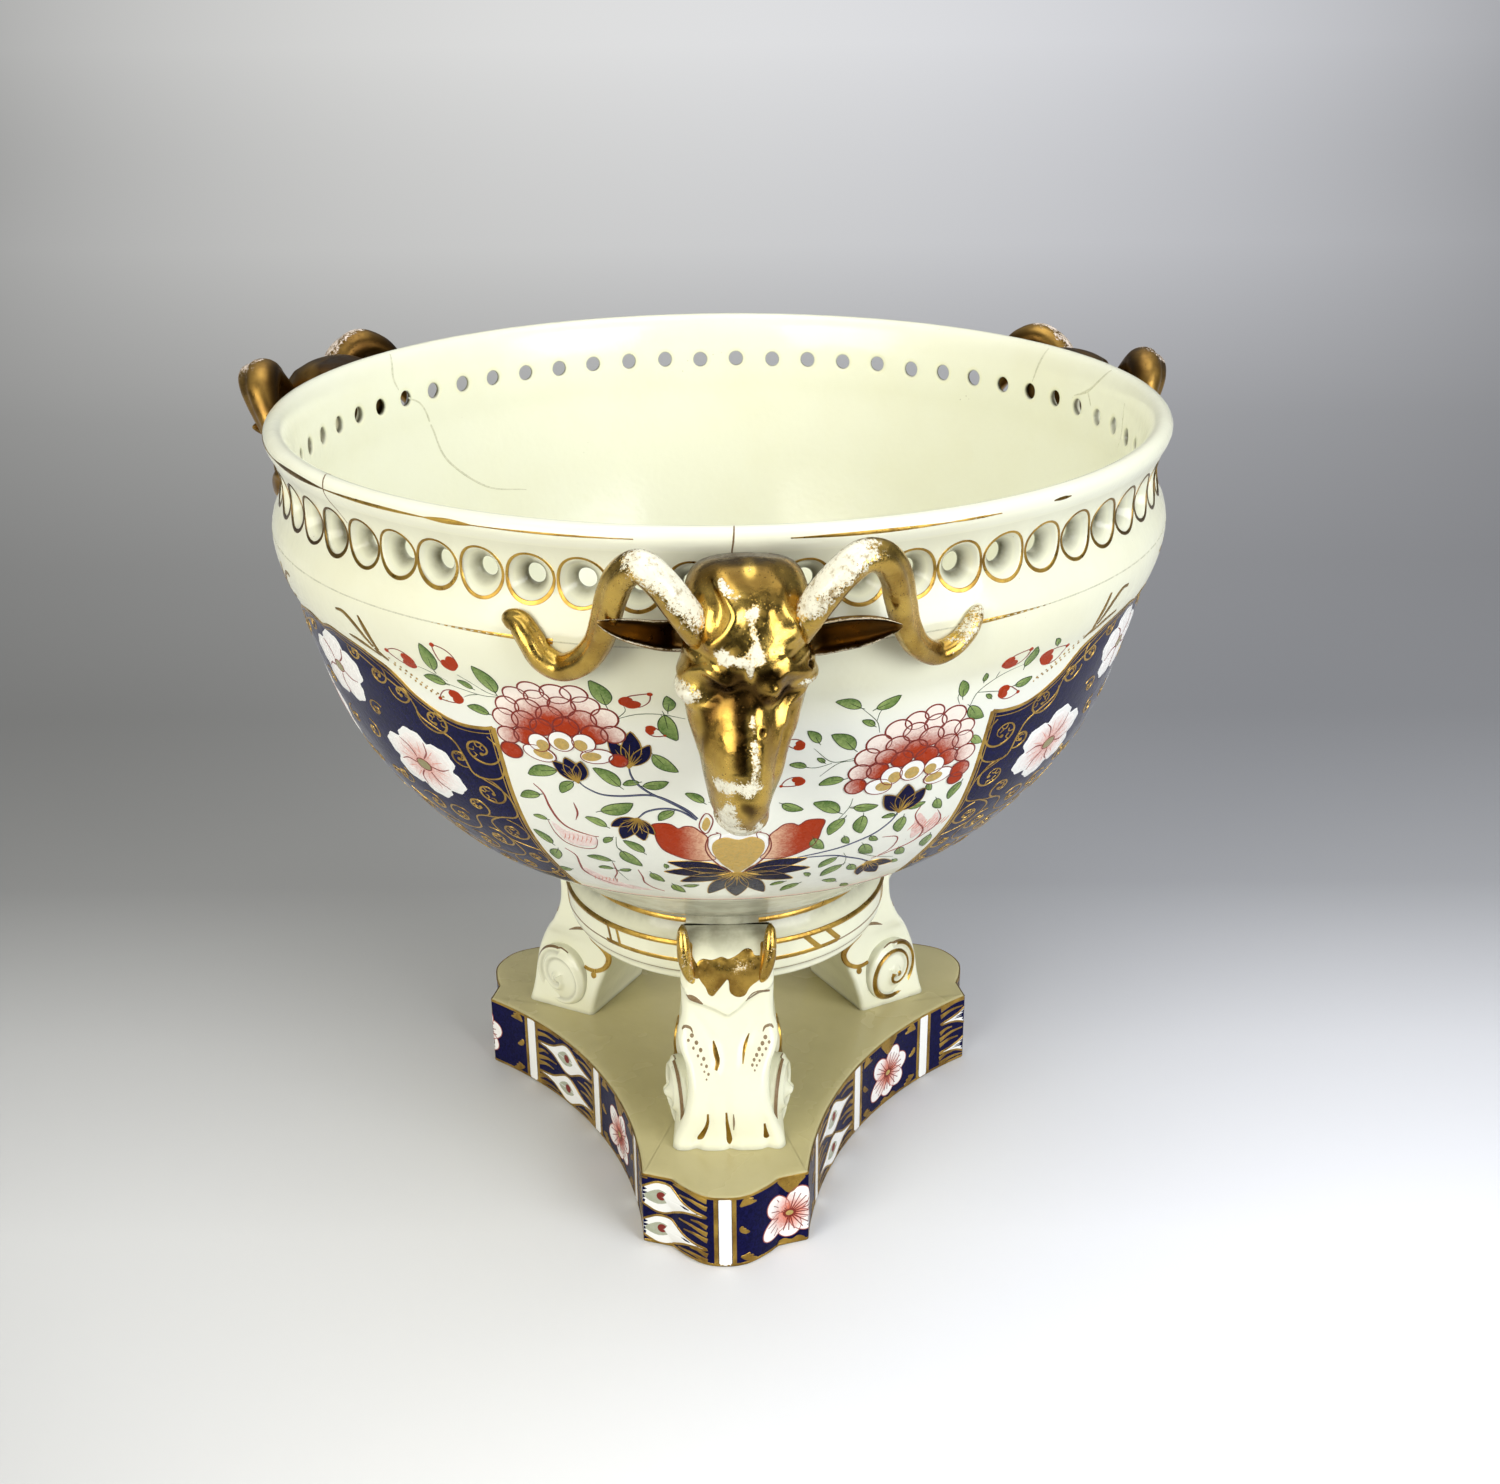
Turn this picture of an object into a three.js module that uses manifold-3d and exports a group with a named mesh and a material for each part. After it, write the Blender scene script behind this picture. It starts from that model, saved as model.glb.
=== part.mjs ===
// Footed potpourri bowl in glazed ironstone: a pierced bowl with three applied ram heads,
// on a round collar carried by three scroll legs that stand on a three-lobed plinth.
// Millimetres, +Z up. The origin lies on the axis at the underside of the plinth,
// and the plinth's front lobe points along -Y.
import * as THREE from "three";
import { mergeVertices } from "three/addons/utils/BufferGeometryUtils.js";
import Module from "manifold-3d";

const wasm = await Module();
wasm.setup();

// Driving dimensions
const jointGap = 0.35; // clearance between pieces that are luted together
const roundSegments = 60; // facets of a turned piece, one to each piercing

const plinthHeight = 22.6;
const plinthCornerHalf = 22; // half the width of a lobe at its corners
const plinthCornerOut = 71.3; // distance of a lobe's corners, along the lobe
const plinthShoulderHalf = 14.2;
const plinthShoulderOut = 73.8;
const plinthBowOut = 82.2; // furthest point of a lobe's bow front
const plinthWaist = 43.6; // nearest point of a concave side to the axis
const plinthEdgeRound = 0.8;

const legTurn = 1; // the legs' turn about the axis, degrees
const rollCentreOut = 50;
const rollCentreUp = 33.5;
const rollHalfWidth = 13.6; // from the leg's middle plane to the middle of a roll's face
const rollSplay = 13; // the turn of a roll's face towards the front, degrees
const rollRadius = 9.2; // the raised disc on each face of the roll
const rollRelief = 0.9;
const scrollRadius = 6.2; // the raised scroll on the disc
const scrollRelief = 1.7;
const bossRadius = 2.2; // the button at the scroll's centre
const bossRelief = 3.4;
const capInner = 42; // the leaf at a leg's head, from its back to its front
const capOuter = 51.4;

const collarBottom = 61.6;
const collarTop = 84.2;
const collarRadius = 45.6;

const cementThickness = 0.9;
const cementRadius = 40.2;

const bowlTurn = 3.9; // the bowl's turn about the axis, degrees
const bowlFootUp = collarTop + 2 * jointGap + cementThickness;
const rimTop = 212.7;
const piercingCount = 60;
const piercingUp = 199.5;
const piercingRadius = 2.2;
const hollowRadius = 5.6;
const hollowDepthRadius = 109; // distance of a hollow's bottom from the axis
const hollowMouthRadius = 112.4;

const lobeCount = 3;

const eyeRadius = 3;
const eyeOut = 134.2;
const eyeSide = 11.4;
const eyeUp = 184.6;
const earHollow = 0.72; // the hollow of an ear against its outside
const earHollowShift = 1;

// The ram heads were set on by hand: each has its own small turn and rise from its true place.
const rams = [
  { place: "front", bearing: 0, turn: -0.7, rise: 0 },
  { place: "back_right", bearing: 120, turn: 0, rise: 0 },
  { place: "back_left", bearing: -120, turn: 0, rise: 2.5 },
];

// Materials
const ivory = new THREE.MeshStandardMaterial({ color: 0xf0edd6, roughness: 0.18, metalness: 0 });
const khaki = new THREE.MeshStandardMaterial({ color: 0xcfc9a2, roughness: 0.25, metalness: 0 });
const gilding = new THREE.MeshStandardMaterial({ color: 0xa87a2c, roughness: 0.28, metalness: 1 });
const cement = new THREE.MeshStandardMaterial({ color: 0x5b4a30, roughness: 0.9, metalness: 0 });

// Helpers

const radians = THREE.MathUtils.degToRad;

// A closed three.js geometry as a solid, with shared vertices merged.
function solidOf(geometry) {
  const bare = geometry.clone();
  bare.deleteAttribute("normal");
  bare.deleteAttribute("uv");
  const merged = mergeVertices(bare, 1e-4);
  const index = merged.index.array;
  const kept = [];
  for (let i = 0; i < index.length; i += 3) {
    const [a, b, c] = [index[i], index[i + 1], index[i + 2]];
    if (a !== b && b !== c && c !== a) kept.push(a, b, c);
  }
  return new wasm.Manifold(
    new wasm.Mesh({
      numProp: 3,
      vertProperties: merged.attributes.position.array,
      triVerts: new Uint32Array(kept),
    }),
  );
}

// A solid as a named mesh.
function meshOf(name, solid, material) {
  const out = solid.getMesh();
  const geometry = new THREE.BufferGeometry();
  geometry.setAttribute("position", new THREE.BufferAttribute(out.vertProperties, 3));
  geometry.setIndex(new THREE.BufferAttribute(out.triVerts, 1));
  geometry.computeVertexNormals();
  const mesh = new THREE.Mesh(geometry, material);
  mesh.name = name;
  return mesh;
}

// A profile of [radius, height] points turned about Z. The points run up the outside.
function turned(profile, segments = roundSegments) {
  const points = profile.map(([r, z]) => new THREE.Vector2(r, z));
  const geometry = new THREE.LatheGeometry(points, segments);
  geometry.rotateX(Math.PI / 2);
  return solidOf(geometry);
}

// A closed skin over rings with equal point counts, with a fan at each end.
function skinned(rings) {
  const around = rings[0].length;
  const positions = rings.flat().flatMap((p) => [p.x, p.y, p.z]);
  const index = [];
  for (let i = 0; i < rings.length - 1; i++) {
    for (let j = 0; j < around; j++) {
      const a = i * around + j;
      const b = i * around + ((j + 1) % around);
      index.push(a, b, a + around, b, b + around, a + around);
    }
  }
  [0, rings.length - 1].forEach((end, side) => {
    const centre = rings[end].reduce((sum, p) => sum.add(p), new THREE.Vector3());
    centre.divideScalar(around);
    const tip = positions.length / 3;
    positions.push(centre.x, centre.y, centre.z);
    for (let j = 0; j < around; j++) {
      const a = end * around + j;
      const b = end * around + ((j + 1) % around);
      index.push(...(side ? [a, b, tip] : [b, a, tip]));
    }
  });
  const geometry = new THREE.BufferGeometry();
  geometry.setAttribute("position", new THREE.Float32BufferAttribute(positions, 3));
  geometry.setIndex(index);
  return solidOf(geometry);
}

// A round tube whose radius changes along a smooth curve through the stations.
// A station is [out, side, up, radius].
function taperedTube(stations, steps, around, grow = 0) {
  const path = new THREE.CatmullRomCurve3(
    stations.map(([out, side, up]) => new THREE.Vector3(out, side, up)),
  );
  const frames = path.computeFrenetFrames(steps);
  const rings = [];
  for (let i = 0; i <= steps; i++) {
    const t = i / steps;
    const place = path.getUtoTmapping(t) * (stations.length - 1);
    const low = Math.min(Math.floor(place), stations.length - 2);
    const mix = place - low;
    const radius = grow + stations[low][3] * (1 - mix) + stations[low + 1][3] * mix;
    const centre = path.getPointAt(t);
    const ring = [];
    for (let j = 0; j < around; j++) {
      const angle = (2 * Math.PI * j) / around;
      ring.push(
        centre
          .clone()
          .addScaledVector(frames.normals[i], radius * Math.cos(angle))
          .addScaledVector(frames.binormals[i], radius * Math.sin(angle)),
      );
    }
    rings.push(ring);
  }
  return skinned(rings);
}

// A group turned so that its own +X points outwards at a bearing from the front, degrees.
function facing(bearing) {
  const group = new THREE.Group();
  group.rotation.z = radians(bearing - 90);
  return group;
}

// Plinth

// The bow front of a lobe between its shoulders: [out, side].
const lobeFront = [
  [plinthShoulderOut, -plinthShoulderHalf],
  [plinthShoulderOut + 3.8, -plinthShoulderHalf + 3.6],
  [plinthBowOut - 1, -5.5],
  [plinthBowOut, 0],
  [plinthBowOut - 1, 5.5],
  [plinthShoulderOut + 3.8, plinthShoulderHalf - 3.6],
  [plinthShoulderOut, plinthShoulderHalf],
];

// The plinth's edge: each lobe's bow front with its shoulders, then the concave side after it.
function plinthOutline() {
  const halfStep = Math.PI / lobeCount;
  const corner = new THREE.Vector2(plinthCornerOut, plinthCornerHalf);
  const sideAxis = new THREE.Vector2(Math.cos(halfStep), Math.sin(halfStep));
  const cornerDepth = corner.dot(sideAxis);
  const cornerAlong = corner.cross(sideAxis);
  const sagitta = cornerDepth - plinthWaist;
  const sideRadius = (cornerAlong ** 2 + sagitta ** 2) / (2 * sagitta);
  const sideCentre = plinthWaist + sideRadius;
  const sideSteps = 7;
  const shape = [];
  for (let lobe = 0; lobe < lobeCount; lobe++) {
    const turn = lobe * 2 * halfStep;
    const add = (out, side) =>
      shape.push(new THREE.Vector2(out, side).rotateAround(new THREE.Vector2(), turn));
    const front = new THREE.SplineCurve(lobeFront.map(([out, side]) => new THREE.Vector2(out, side)));
    add(plinthCornerOut, -plinthCornerHalf);
    front.getPoints(12).forEach((p) => add(p.x, p.y));
    add(plinthCornerOut, plinthCornerHalf);
    const reach = Math.asin(cornerAlong / sideRadius);
    for (let k = 1; k < 2 * sideSteps; k++) {
      const angle = reach * (k / sideSteps - 1);
      const depth = sideCentre - sideRadius * Math.cos(angle);
      const along = sideRadius * Math.sin(angle);
      const p = new THREE.Vector2(depth, along).rotateAround(new THREE.Vector2(), halfStep);
      add(p.x, p.y);
    }
  }
  return shape;
}

function makePlinth() {
  const geometry = new THREE.ExtrudeGeometry(new THREE.Shape(plinthOutline()), {
    depth: plinthHeight - plinthEdgeRound,
    bevelEnabled: false,
  });
  const lower = solidOf(geometry);
  const cap = new THREE.ExtrudeGeometry(new THREE.Shape(plinthOutline()), {
    depth: plinthEdgeRound,
    bevelThickness: plinthEdgeRound,
    bevelSize: plinthEdgeRound,
    bevelOffset: -plinthEdgeRound,
    bevelSegments: 2,
  });
  cap.translate(0, 0, plinthHeight - 2 * plinthEdgeRound);
  return lower.add(solidOf(cap));
}

// Collar

// The collar's outside, grown by a clearance where it cuts its neighbours.
function collarProfile(grow = 0) {
  const g = grow;
  return [
    [0, collarBottom - g],
    [38.6 + g, collarBottom - g],
    [39.8 + g, collarBottom + 0.9 - g],
    [42.3 + g, collarBottom + 2.3],
    [43.1 + g, collarBottom + 4.3],
    [44.5 + g, collarBottom + 6.2],
    [45.3 + g, collarBottom + 10.4],
    [collarRadius + g, collarBottom + 13.6],
    [44.6 + g, collarBottom + 14.6 + g],
    [43 + g, collarBottom + 16.6 + g],
    [41.5 + g, collarBottom + 19.6 + g],
    [40.8 + g, collarTop + g],
    [0, collarTop + g],
  ];
}

// Legs

// Level sections of a leg from its toe to its head: [height, front out, front half width,
// back out, back half width]. It is narrow in front of the roll and spreads at the toe.
const legSections = [
  [plinthHeight + jointGap, 61.4, 15.2, 38.6, 14.6],
  [26, 60.9, 14.5, 37.8, 15],
  [29.5, 60.9, 13.1, 36.6, 15.4],
  [33.5, 61, 11.9, 35.3, 15.4],
  [37, 60.6, 11.1, 34, 15],
  [40, 59.8, 10.8, 33, 14.6],
  [43, 58.5, 10.9, 32.3, 14.1],
  [46, 56.8, 11.5, 31.7, 13.6],
  [48.5, 54.9, 12.7, 31.4, 13.3],
  [51, 53, 13.4, 31.2, 13],
  [54, 51.6, 13.2, 31.4, 12.7],
  [57, 50.8, 12.4, 31.7, 12.4],
  [61.4, 50.3, 12.3, 33, 12.4],
  [66, 50.3, 12.4, 35, 12.4],
  [70.5, 50.4, 12.4, 37, 12.4],
  [75, 49.4, 12.4, 39, 12.4],
  [78.6, 46.6, 12, 40, 12],
  [80.6, 43.4, 11.4, 40.4, 11.4],
];
const legCorner = 2.4; // how far a leg's front corners are rounded

// The gilded leaf at the head of a leg, seen from the front: [side, up].
const capOutline = [
  [0, 59],
  [4.5, 61.5],
  [7, 65],
  [10.5, 67],
  [13, 71],
  [13.2, 81.6],
  [11.4, 83.4],
  [8.8, 79],
  [-8.8, 79],
  [-11.4, 83.4],
  [-13.2, 81.6],
  [-13, 71],
  [-10.5, 67],
  [-7, 65],
  [-4.5, 61.5],
];

// The leg's body: a skin over its level sections, with rounded front corners.
function legBody() {
  const rings = legSections.map(([up, front, frontHalf, back, backHalf]) => {
    const half = [
      [front, frontHalf - 2 * legCorner],
      [front - 0.3 * legCorner, frontHalf - 0.8 * legCorner],
      [front - legCorner, frontHalf],
      [back + 1, backHalf],
      [back, backHalf - 1],
    ];
    const mirrored = half.map(([out, side]) => [out, -side]).reverse();
    return [...mirrored, ...half].map(([out, side]) => new THREE.Vector3(out, side, up));
  });
  return skinned(rings);
}

// A round disc that stands out of the roll's face on one side of the leg.
function rollDisc(side, radius, relief, sides) {
  const sunk = 4;
  const disc = new THREE.CylinderGeometry(radius, radius, sunk + relief, sides);
  disc.translate(0, (relief - sunk) / 2, 0);
  if (side < 0) disc.rotateX(Math.PI);
  disc.rotateZ(-side * radians(rollSplay));
  disc.translate(rollCentreOut, side * rollHalfWidth, rollCentreUp);
  return solidOf(disc);
}

function makeLeg(collarCutter) {
  let body = legBody();
  for (const side of [-1, 1]) {
    body = body
      .add(rollDisc(side, rollRadius, rollRelief, 24))
      .add(rollDisc(side, scrollRadius, scrollRelief, 16))
      .add(rollDisc(side, bossRadius, bossRelief, 8));
  }
  const capShape = new THREE.Shape(capOutline.map(([side, up]) => new THREE.Vector2(side, up)));
  const capDepth = capOuter - capInner;
  const cap = new THREE.ExtrudeGeometry(capShape, { depth: capDepth, bevelEnabled: false });
  cap.rotateX(Math.PI / 2).rotateZ(Math.PI / 2);
  cap.translate(capInner, 0, 0);
  return body.add(solidOf(cap)).subtract(collarCutter);
}

// Bowl

// The bowl's outside from its foot to the top of its lip: [radius, height].
const bowlOutside = [
  [45.6, bowlFootUp],
  [48.6, 86.9],
  [62.1, 97.8],
  [75.3, 106.2],
  [84.2, 114.8],
  [91.9, 123.8],
  [98.1, 133],
  [103, 143.5],
  [106.6, 154.5],
  [109.6, 165],
  [111, 171.5],
  [112.9, 175.5],
  [114.4, 180],
  [115.2, 185],
  [114.7, 189.5],
  [112.9, 193.5],
  [111.9, 199.5],
  [112.9, 204.9],
  [115, 209.6],
  [114.4, 211.8],
  [112.6, rimTop],
];

// The bowl's inside from the lip down to the middle of its floor.
const bowlInside = [
  [110.6, 211.9],
  [108.9, 208.5],
  [107.8, 202.6],
  [107.9, 188],
  [106.2, 174],
  [103.2, 159.5],
  [97.4, 142],
  [89.9, 128],
  [79.4, 115.2],
  [66, 104.4],
  [48, 96],
  [24, 91.9],
  [0, 91.3],
];

// One piercing: a hole through the wall and a wider conical hollow round its outer mouth.
function piercing(bearing) {
  const insideWall = 100;
  const outsideWall = 120;
  const sides = 8;
  const tool = turned(
    [
      [0, insideWall],
      [piercingRadius, insideWall],
      [piercingRadius, hollowDepthRadius],
      [hollowRadius, hollowMouthRadius],
      [hollowRadius, outsideWall],
      [0, outsideWall],
    ],
    sides,
  );
  return tool.rotate([0, 90, 0]).translate([0, 0, piercingUp]).rotate([0, 0, bearing]);
}

function makeBowl() {
  const body = turned([[0, bowlFootUp], ...bowlOutside, ...bowlInside]);
  const tools = [];
  for (let i = 0; i < piercingCount; i++) tools.push(piercing((360 * i) / piercingCount));
  return tools.reduce((bowl, tool) => bowl.subtract(tool), body);
}

// The space that the bowl fills, grown by the clearance, to fit the applied pieces to it.
function makeBowlCutter() {
  const grown = bowlOutside.map(([r, z]) => [r + jointGap, z]);
  return turned([[0, bowlFootUp], ...grown, [0, rimTop]]);
}

// Ram heads

// Sections of the head from the poll down to the muzzle:
// [height, distance of the centre out, half depth, half width].
const headSections = [
  [208.8, 123.5, 4.5, 7],
  [206, 122, 11, 11.2],
  [201, 122.5, 14.6, 12.8],
  [195, 124, 15, 13.2],
  [189, 125, 14.5, 13.8],
  [183.5, 126, 13, 14.6],
  [177, 126.5, 11, 12.8],
  [170, 126.5, 9.4, 10.3],
  [163, 126, 8.6, 8.8],
  [157.5, 125.3, 8, 7.3],
  [153.5, 124.6, 6.2, 5.4],
  [149.9, 124.2, 2.8, 2.8],
];

function headShape(grow = 0) {
  const around = 16;
  const rings = headSections.map(([up, out, depth, width], i) => {
    const end = i === 0 ? 1 : i === headSections.length - 1 ? -1 : 0;
    const ring = [];
    for (let j = 0; j < around; j++) {
      const angle = (-2 * Math.PI * j) / around;
      const x = out + (depth + grow) * Math.cos(angle);
      const y = (width + grow) * Math.sin(angle);
      ring.push(new THREE.Vector3(x, y, up + end * grow));
    }
    return ring;
  });
  let head = skinned(rings);
  for (const side of [-1, 1]) {
    const eye = new THREE.SphereGeometry(eyeRadius + grow, 8, 6);
    eye.translate(eyeOut, eyeSide * side, eyeUp);
    head = head.add(solidOf(eye));
  }
  return head;
}

// The path of a horn: up from the forehead, over, down behind the ear and up to its tip.
// The stations are [out, side, up, radius].
const hornStations = [
  [128.6, 9, 191, 2.6],
  [131.5, 10.8, 198.2, 3.7],
  [133, 13.7, 203.2, 3.8],
  [133.4, 17.6, 208.2, 3.8],
  [131.5, 21.9, 211, 3.8],
  [128.5, 25.9, 209, 3.8],
  [125.5, 28.3, 204.2, 3.7],
  [122, 29.9, 197.8, 3.6],
  [118.3, 31.7, 191.4, 3.4],
  [115, 34.8, 186, 3.1],
  [110.5, 39.3, 182.5, 2.8],
  [108.5, 43.5, 183.6, 2.6],
  [107, 46.4, 186.9, 2.5],
  [105.3, 48.3, 189.7, 2.2],
  [103.7, 49.8, 190.5, 1.4],
];

function hornShape(side, grow = 0) {
  const stations = hornStations.map(([out, across, up, r]) => [out, side * across, up, r]);
  const steps = 26;
  const around = 8;
  return taperedTube(stations, steps, around, grow);
}

// The sections of an ear along its length: [out, side, up, half height, half thickness].
const earSections = [
  [119.8, 11.3, 190.9, 2.3, 1.4],
  [122, 15.4, 192.2, 3.1, 1.7],
  [124.6, 19.9, 194.2, 3.6, 1.8],
  [127.2, 24.4, 196.6, 2.8, 1.5],
  [128.6, 27.6, 197.5, 1.7, 1.1],
  [129.5, 30, 197.8, 0.5, 0.4],
];

function earShape(side) {
  const around = 8;
  const ringsAt = (shrink, shift) =>
    earSections.map(([out, across, up, high, thick]) => {
      const ring = [];
      for (let j = 0; j < around; j++) {
        const angle = (-side * 2 * Math.PI * j) / around;
        ring.push(
          new THREE.Vector3(
            out + shift + shrink * thick * Math.cos(angle),
            side * (across - 0.5 * shrink * high * Math.sin(angle)),
            up + shrink * high * Math.sin(angle),
          ),
        );
      }
      return ring;
    });
  return skinned(ringsAt(1, 0)).subtract(skinned(ringsAt(earHollow, earHollowShift)));
}

// A head with its two horns and two ears, each fitted to the bowl and to the head.
function makeRam({ place, bearing, turn, rise }) {
  const holder = facing(bearing + turn);
  holder.position.z = rise;
  const bowlCutter = makeBowlCutter().translate([0, 0, -rise]);
  holder.add(meshOf("ram_head_" + place, headShape().subtract(bowlCutter), gilding));
  const cutter = headShape(jointGap).add(bowlCutter);
  for (const [sideName, side] of [["left", -1], ["right", 1]]) {
    const horn = hornShape(side).subtract(cutter);
    const ear = earShape(side).subtract(cutter).subtract(hornShape(side, jointGap));
    holder.add(meshOf(`ram_horn_${place}_${sideName}`, horn, gilding));
    holder.add(meshOf(`ram_ear_${place}_${sideName}`, ear, gilding));
  }
  return holder;
}

// Assembly

const potpourriBowl = new THREE.Group();

potpourriBowl.add(meshOf("plinth", makePlinth().rotate([0, 0, -90]), khaki));

const stand = new THREE.Group();
stand.rotation.z = radians(legTurn);
stand.add(meshOf("stand_collar", turned(collarProfile()), ivory));
const collarCutter = turned(collarProfile(jointGap));
for (const { place, bearing } of rams) {
  const holder = facing(bearing);
  holder.add(meshOf("leg_" + place, makeLeg(collarCutter), ivory));
  stand.add(holder);
}
potpourriBowl.add(stand);

const cementBottom = collarTop + jointGap;
const cementProfile = [
  [0, cementBottom],
  [cementRadius, cementBottom],
  [cementRadius, cementBottom + cementThickness],
  [0, cementBottom + cementThickness],
];
potpourriBowl.add(meshOf("foot_cement", turned(cementProfile), cement));

const upper = new THREE.Group();
upper.rotation.z = radians(bowlTurn);
upper.add(meshOf("bowl", makeBowl(), ivory));
for (const ram of rams) upper.add(makeRam(ram));
potpourriBowl.add(upper);

export default potpourriBowl;
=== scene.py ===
"""Looks for the footed potpourri bowl: painted and gilt ironstone on a three-legged stand."""

import math

import bmesh
import bpy
import numpy as np
from mathutils import Matrix, Vector

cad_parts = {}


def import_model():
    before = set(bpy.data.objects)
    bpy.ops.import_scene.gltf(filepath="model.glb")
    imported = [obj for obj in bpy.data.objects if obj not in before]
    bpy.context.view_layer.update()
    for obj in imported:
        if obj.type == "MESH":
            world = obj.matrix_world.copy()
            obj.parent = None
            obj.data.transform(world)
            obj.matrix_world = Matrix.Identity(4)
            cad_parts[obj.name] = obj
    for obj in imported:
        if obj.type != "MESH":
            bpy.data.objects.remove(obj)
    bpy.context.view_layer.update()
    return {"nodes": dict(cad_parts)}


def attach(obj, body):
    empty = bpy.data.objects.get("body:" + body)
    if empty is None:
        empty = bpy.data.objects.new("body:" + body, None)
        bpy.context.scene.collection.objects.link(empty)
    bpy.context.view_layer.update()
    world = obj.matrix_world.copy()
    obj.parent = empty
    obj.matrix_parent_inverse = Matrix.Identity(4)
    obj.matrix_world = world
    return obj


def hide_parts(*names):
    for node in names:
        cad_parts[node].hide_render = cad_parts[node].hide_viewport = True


MM = 0.001
SEED = 7

# Sizes that repeat the part's own, in millimetres and degrees
BOWL_TURN = 3.9
LEG_TURN = 1.0
FOOT_UP = 85.8
RIM_TOP = 212.7
PIERCINGS = 60
PIERCING_UP = 199.5
PIERCING_RADIUS = 2.2
HOLLOW_RADIUS = 5.5
WALL_RADIUS = 112
BAND_LOW = 193.4
BAND_HIGH = 205.6
PANELS = 3
BOWL_OUTSIDE = [
    (45.6, FOOT_UP), (48.6, 86.9), (62.1, 97.8), (75.3, 106.2), (84.2, 114.8), (91.9, 123.8),
    (98.1, 133), (103, 143.5), (106.6, 154.5), (109.6, 165), (111, 171.5), (112.9, 175.5),
    (114.4, 180), (115.2, 185), (114.7, 189.5), (112.9, 193.5), (111.9, 199.5), (112.9, 204.9),
    (115, 209.6), (114.4, 211.8), (112.6, RIM_TOP),
]
BOWL_INSIDE = [
    (112.6, RIM_TOP), (110.6, 211.9), (108.9, 208.5), (107.8, 202.6), (107.6, 194), (107.9, 188),
    (106.2, 174), (103.2, 159.5), (97.4, 142), (89.9, 128), (79.4, 115.2), (66, 104.4), (48, 96),
    (24, 91.9), (0, 91.3),
]

# The painted pattern is laid out on a flat chart of the bowl's outside. A chart unit is an eighth
# of a millimetre up the wall, and 0.08 of a degree round it. The chart's x is 1092 on the axis of
# a ram's head, and its y is 515 at a height of 150 mm and grows downwards.
CHART_PER_DEGREE = 12.5
CHART_PER_MM = 8
CHART_AXIS = 1092
CHART_MIDDLE = 515
CHART_MIDDLE_UP = 150
PROFILE_SAMPLES = 16


# Curves and meshes


def smooth_line(points, per=8, closed=False):
    """A smooth curve through the points, with several samples to each span."""
    p = np.asarray(points, float)
    if closed:
        p = np.vstack([p[-1:], p, p[:2]])
    else:
        p = np.vstack([2 * p[0] - p[1], p, 2 * p[-1] - p[-2]])
    t = (np.arange(per) / per)[:, None]
    spans = []
    for a, b, c, d in zip(p, p[1:], p[2:], p[3:]):
        cubic = 3 * b - a - 3 * c + d
        spans.append(0.5 * (2 * b + (c - a) * t + (2 * a - 5 * b + 4 * c - d) * t**2 + cubic * t**3))
    if not closed:
        spans.append(p[-2:-1])
    return np.vstack(spans)


def lengths(points):
    """The distance along a line at each of its points."""
    steps = np.linalg.norm(np.diff(points, axis=0), axis=1)
    return np.concatenate([[0], np.cumsum(steps)])


def spaced(line, places):
    """The points of a line at distances along it."""
    along = lengths(line)
    return np.stack([np.interp(places, along, line[:, k]) for k in range(line.shape[1])], 1)


def resampled(points, spacing, closed=False):
    """A smooth curve through the points, sampled evenly."""
    line = smooth_line(points, 8, closed)
    if closed:
        line = np.vstack([line, line[:1]])
    length = lengths(line)[-1]
    return spaced(line, np.linspace(0, length, max(3, int(length / spacing) + 1)))


def directions(line, closed=False):
    """The unit direction of a line at each of its points."""
    run = np.roll(line, -1, 0) - np.roll(line, 1, 0) if closed else np.gradient(line, axis=0)
    return run / np.maximum(np.linalg.norm(run, axis=1), 1e-9)[:, None]


def beside(run):
    """Flat directions turned a quarter to the left."""
    return np.stack([-run[:, 1], run[:, 0]], 1)


def round_axis(points, degrees):
    """The points turned about the upright axis."""
    a = math.radians(degrees)
    turn = np.array([[math.cos(a), math.sin(a), 0], [-math.sin(a), math.cos(a), 0], [0, 0, 1]])
    return np.asarray(points, float) @ turn


def polar(radius, bearing, up):
    """Points at a distance from the axis, a bearing in degrees and a height. Bearing 0 is the front."""
    a = np.radians(bearing)
    return np.stack([radius * np.sin(a), -radius * np.cos(a), up + 0 * a], -1)


def profile_tables(line, start=0.0):
    """A turned profile's lengths, distances from the axis, heights and outward normal."""
    run = directions(line)
    return lengths(line) - start, line[:, 0], line[:, 1], run[:, 1], -run[:, 0]


def over_profile(tables, along, bearing, lift):
    """Points raised over a turned profile, at a distance along it and a bearing."""
    r, z, out_way, up_way = (np.interp(along, tables[0], table) for table in tables[1:])
    return polar(r + out_way * lift, bearing, z + up_way * lift)


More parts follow.
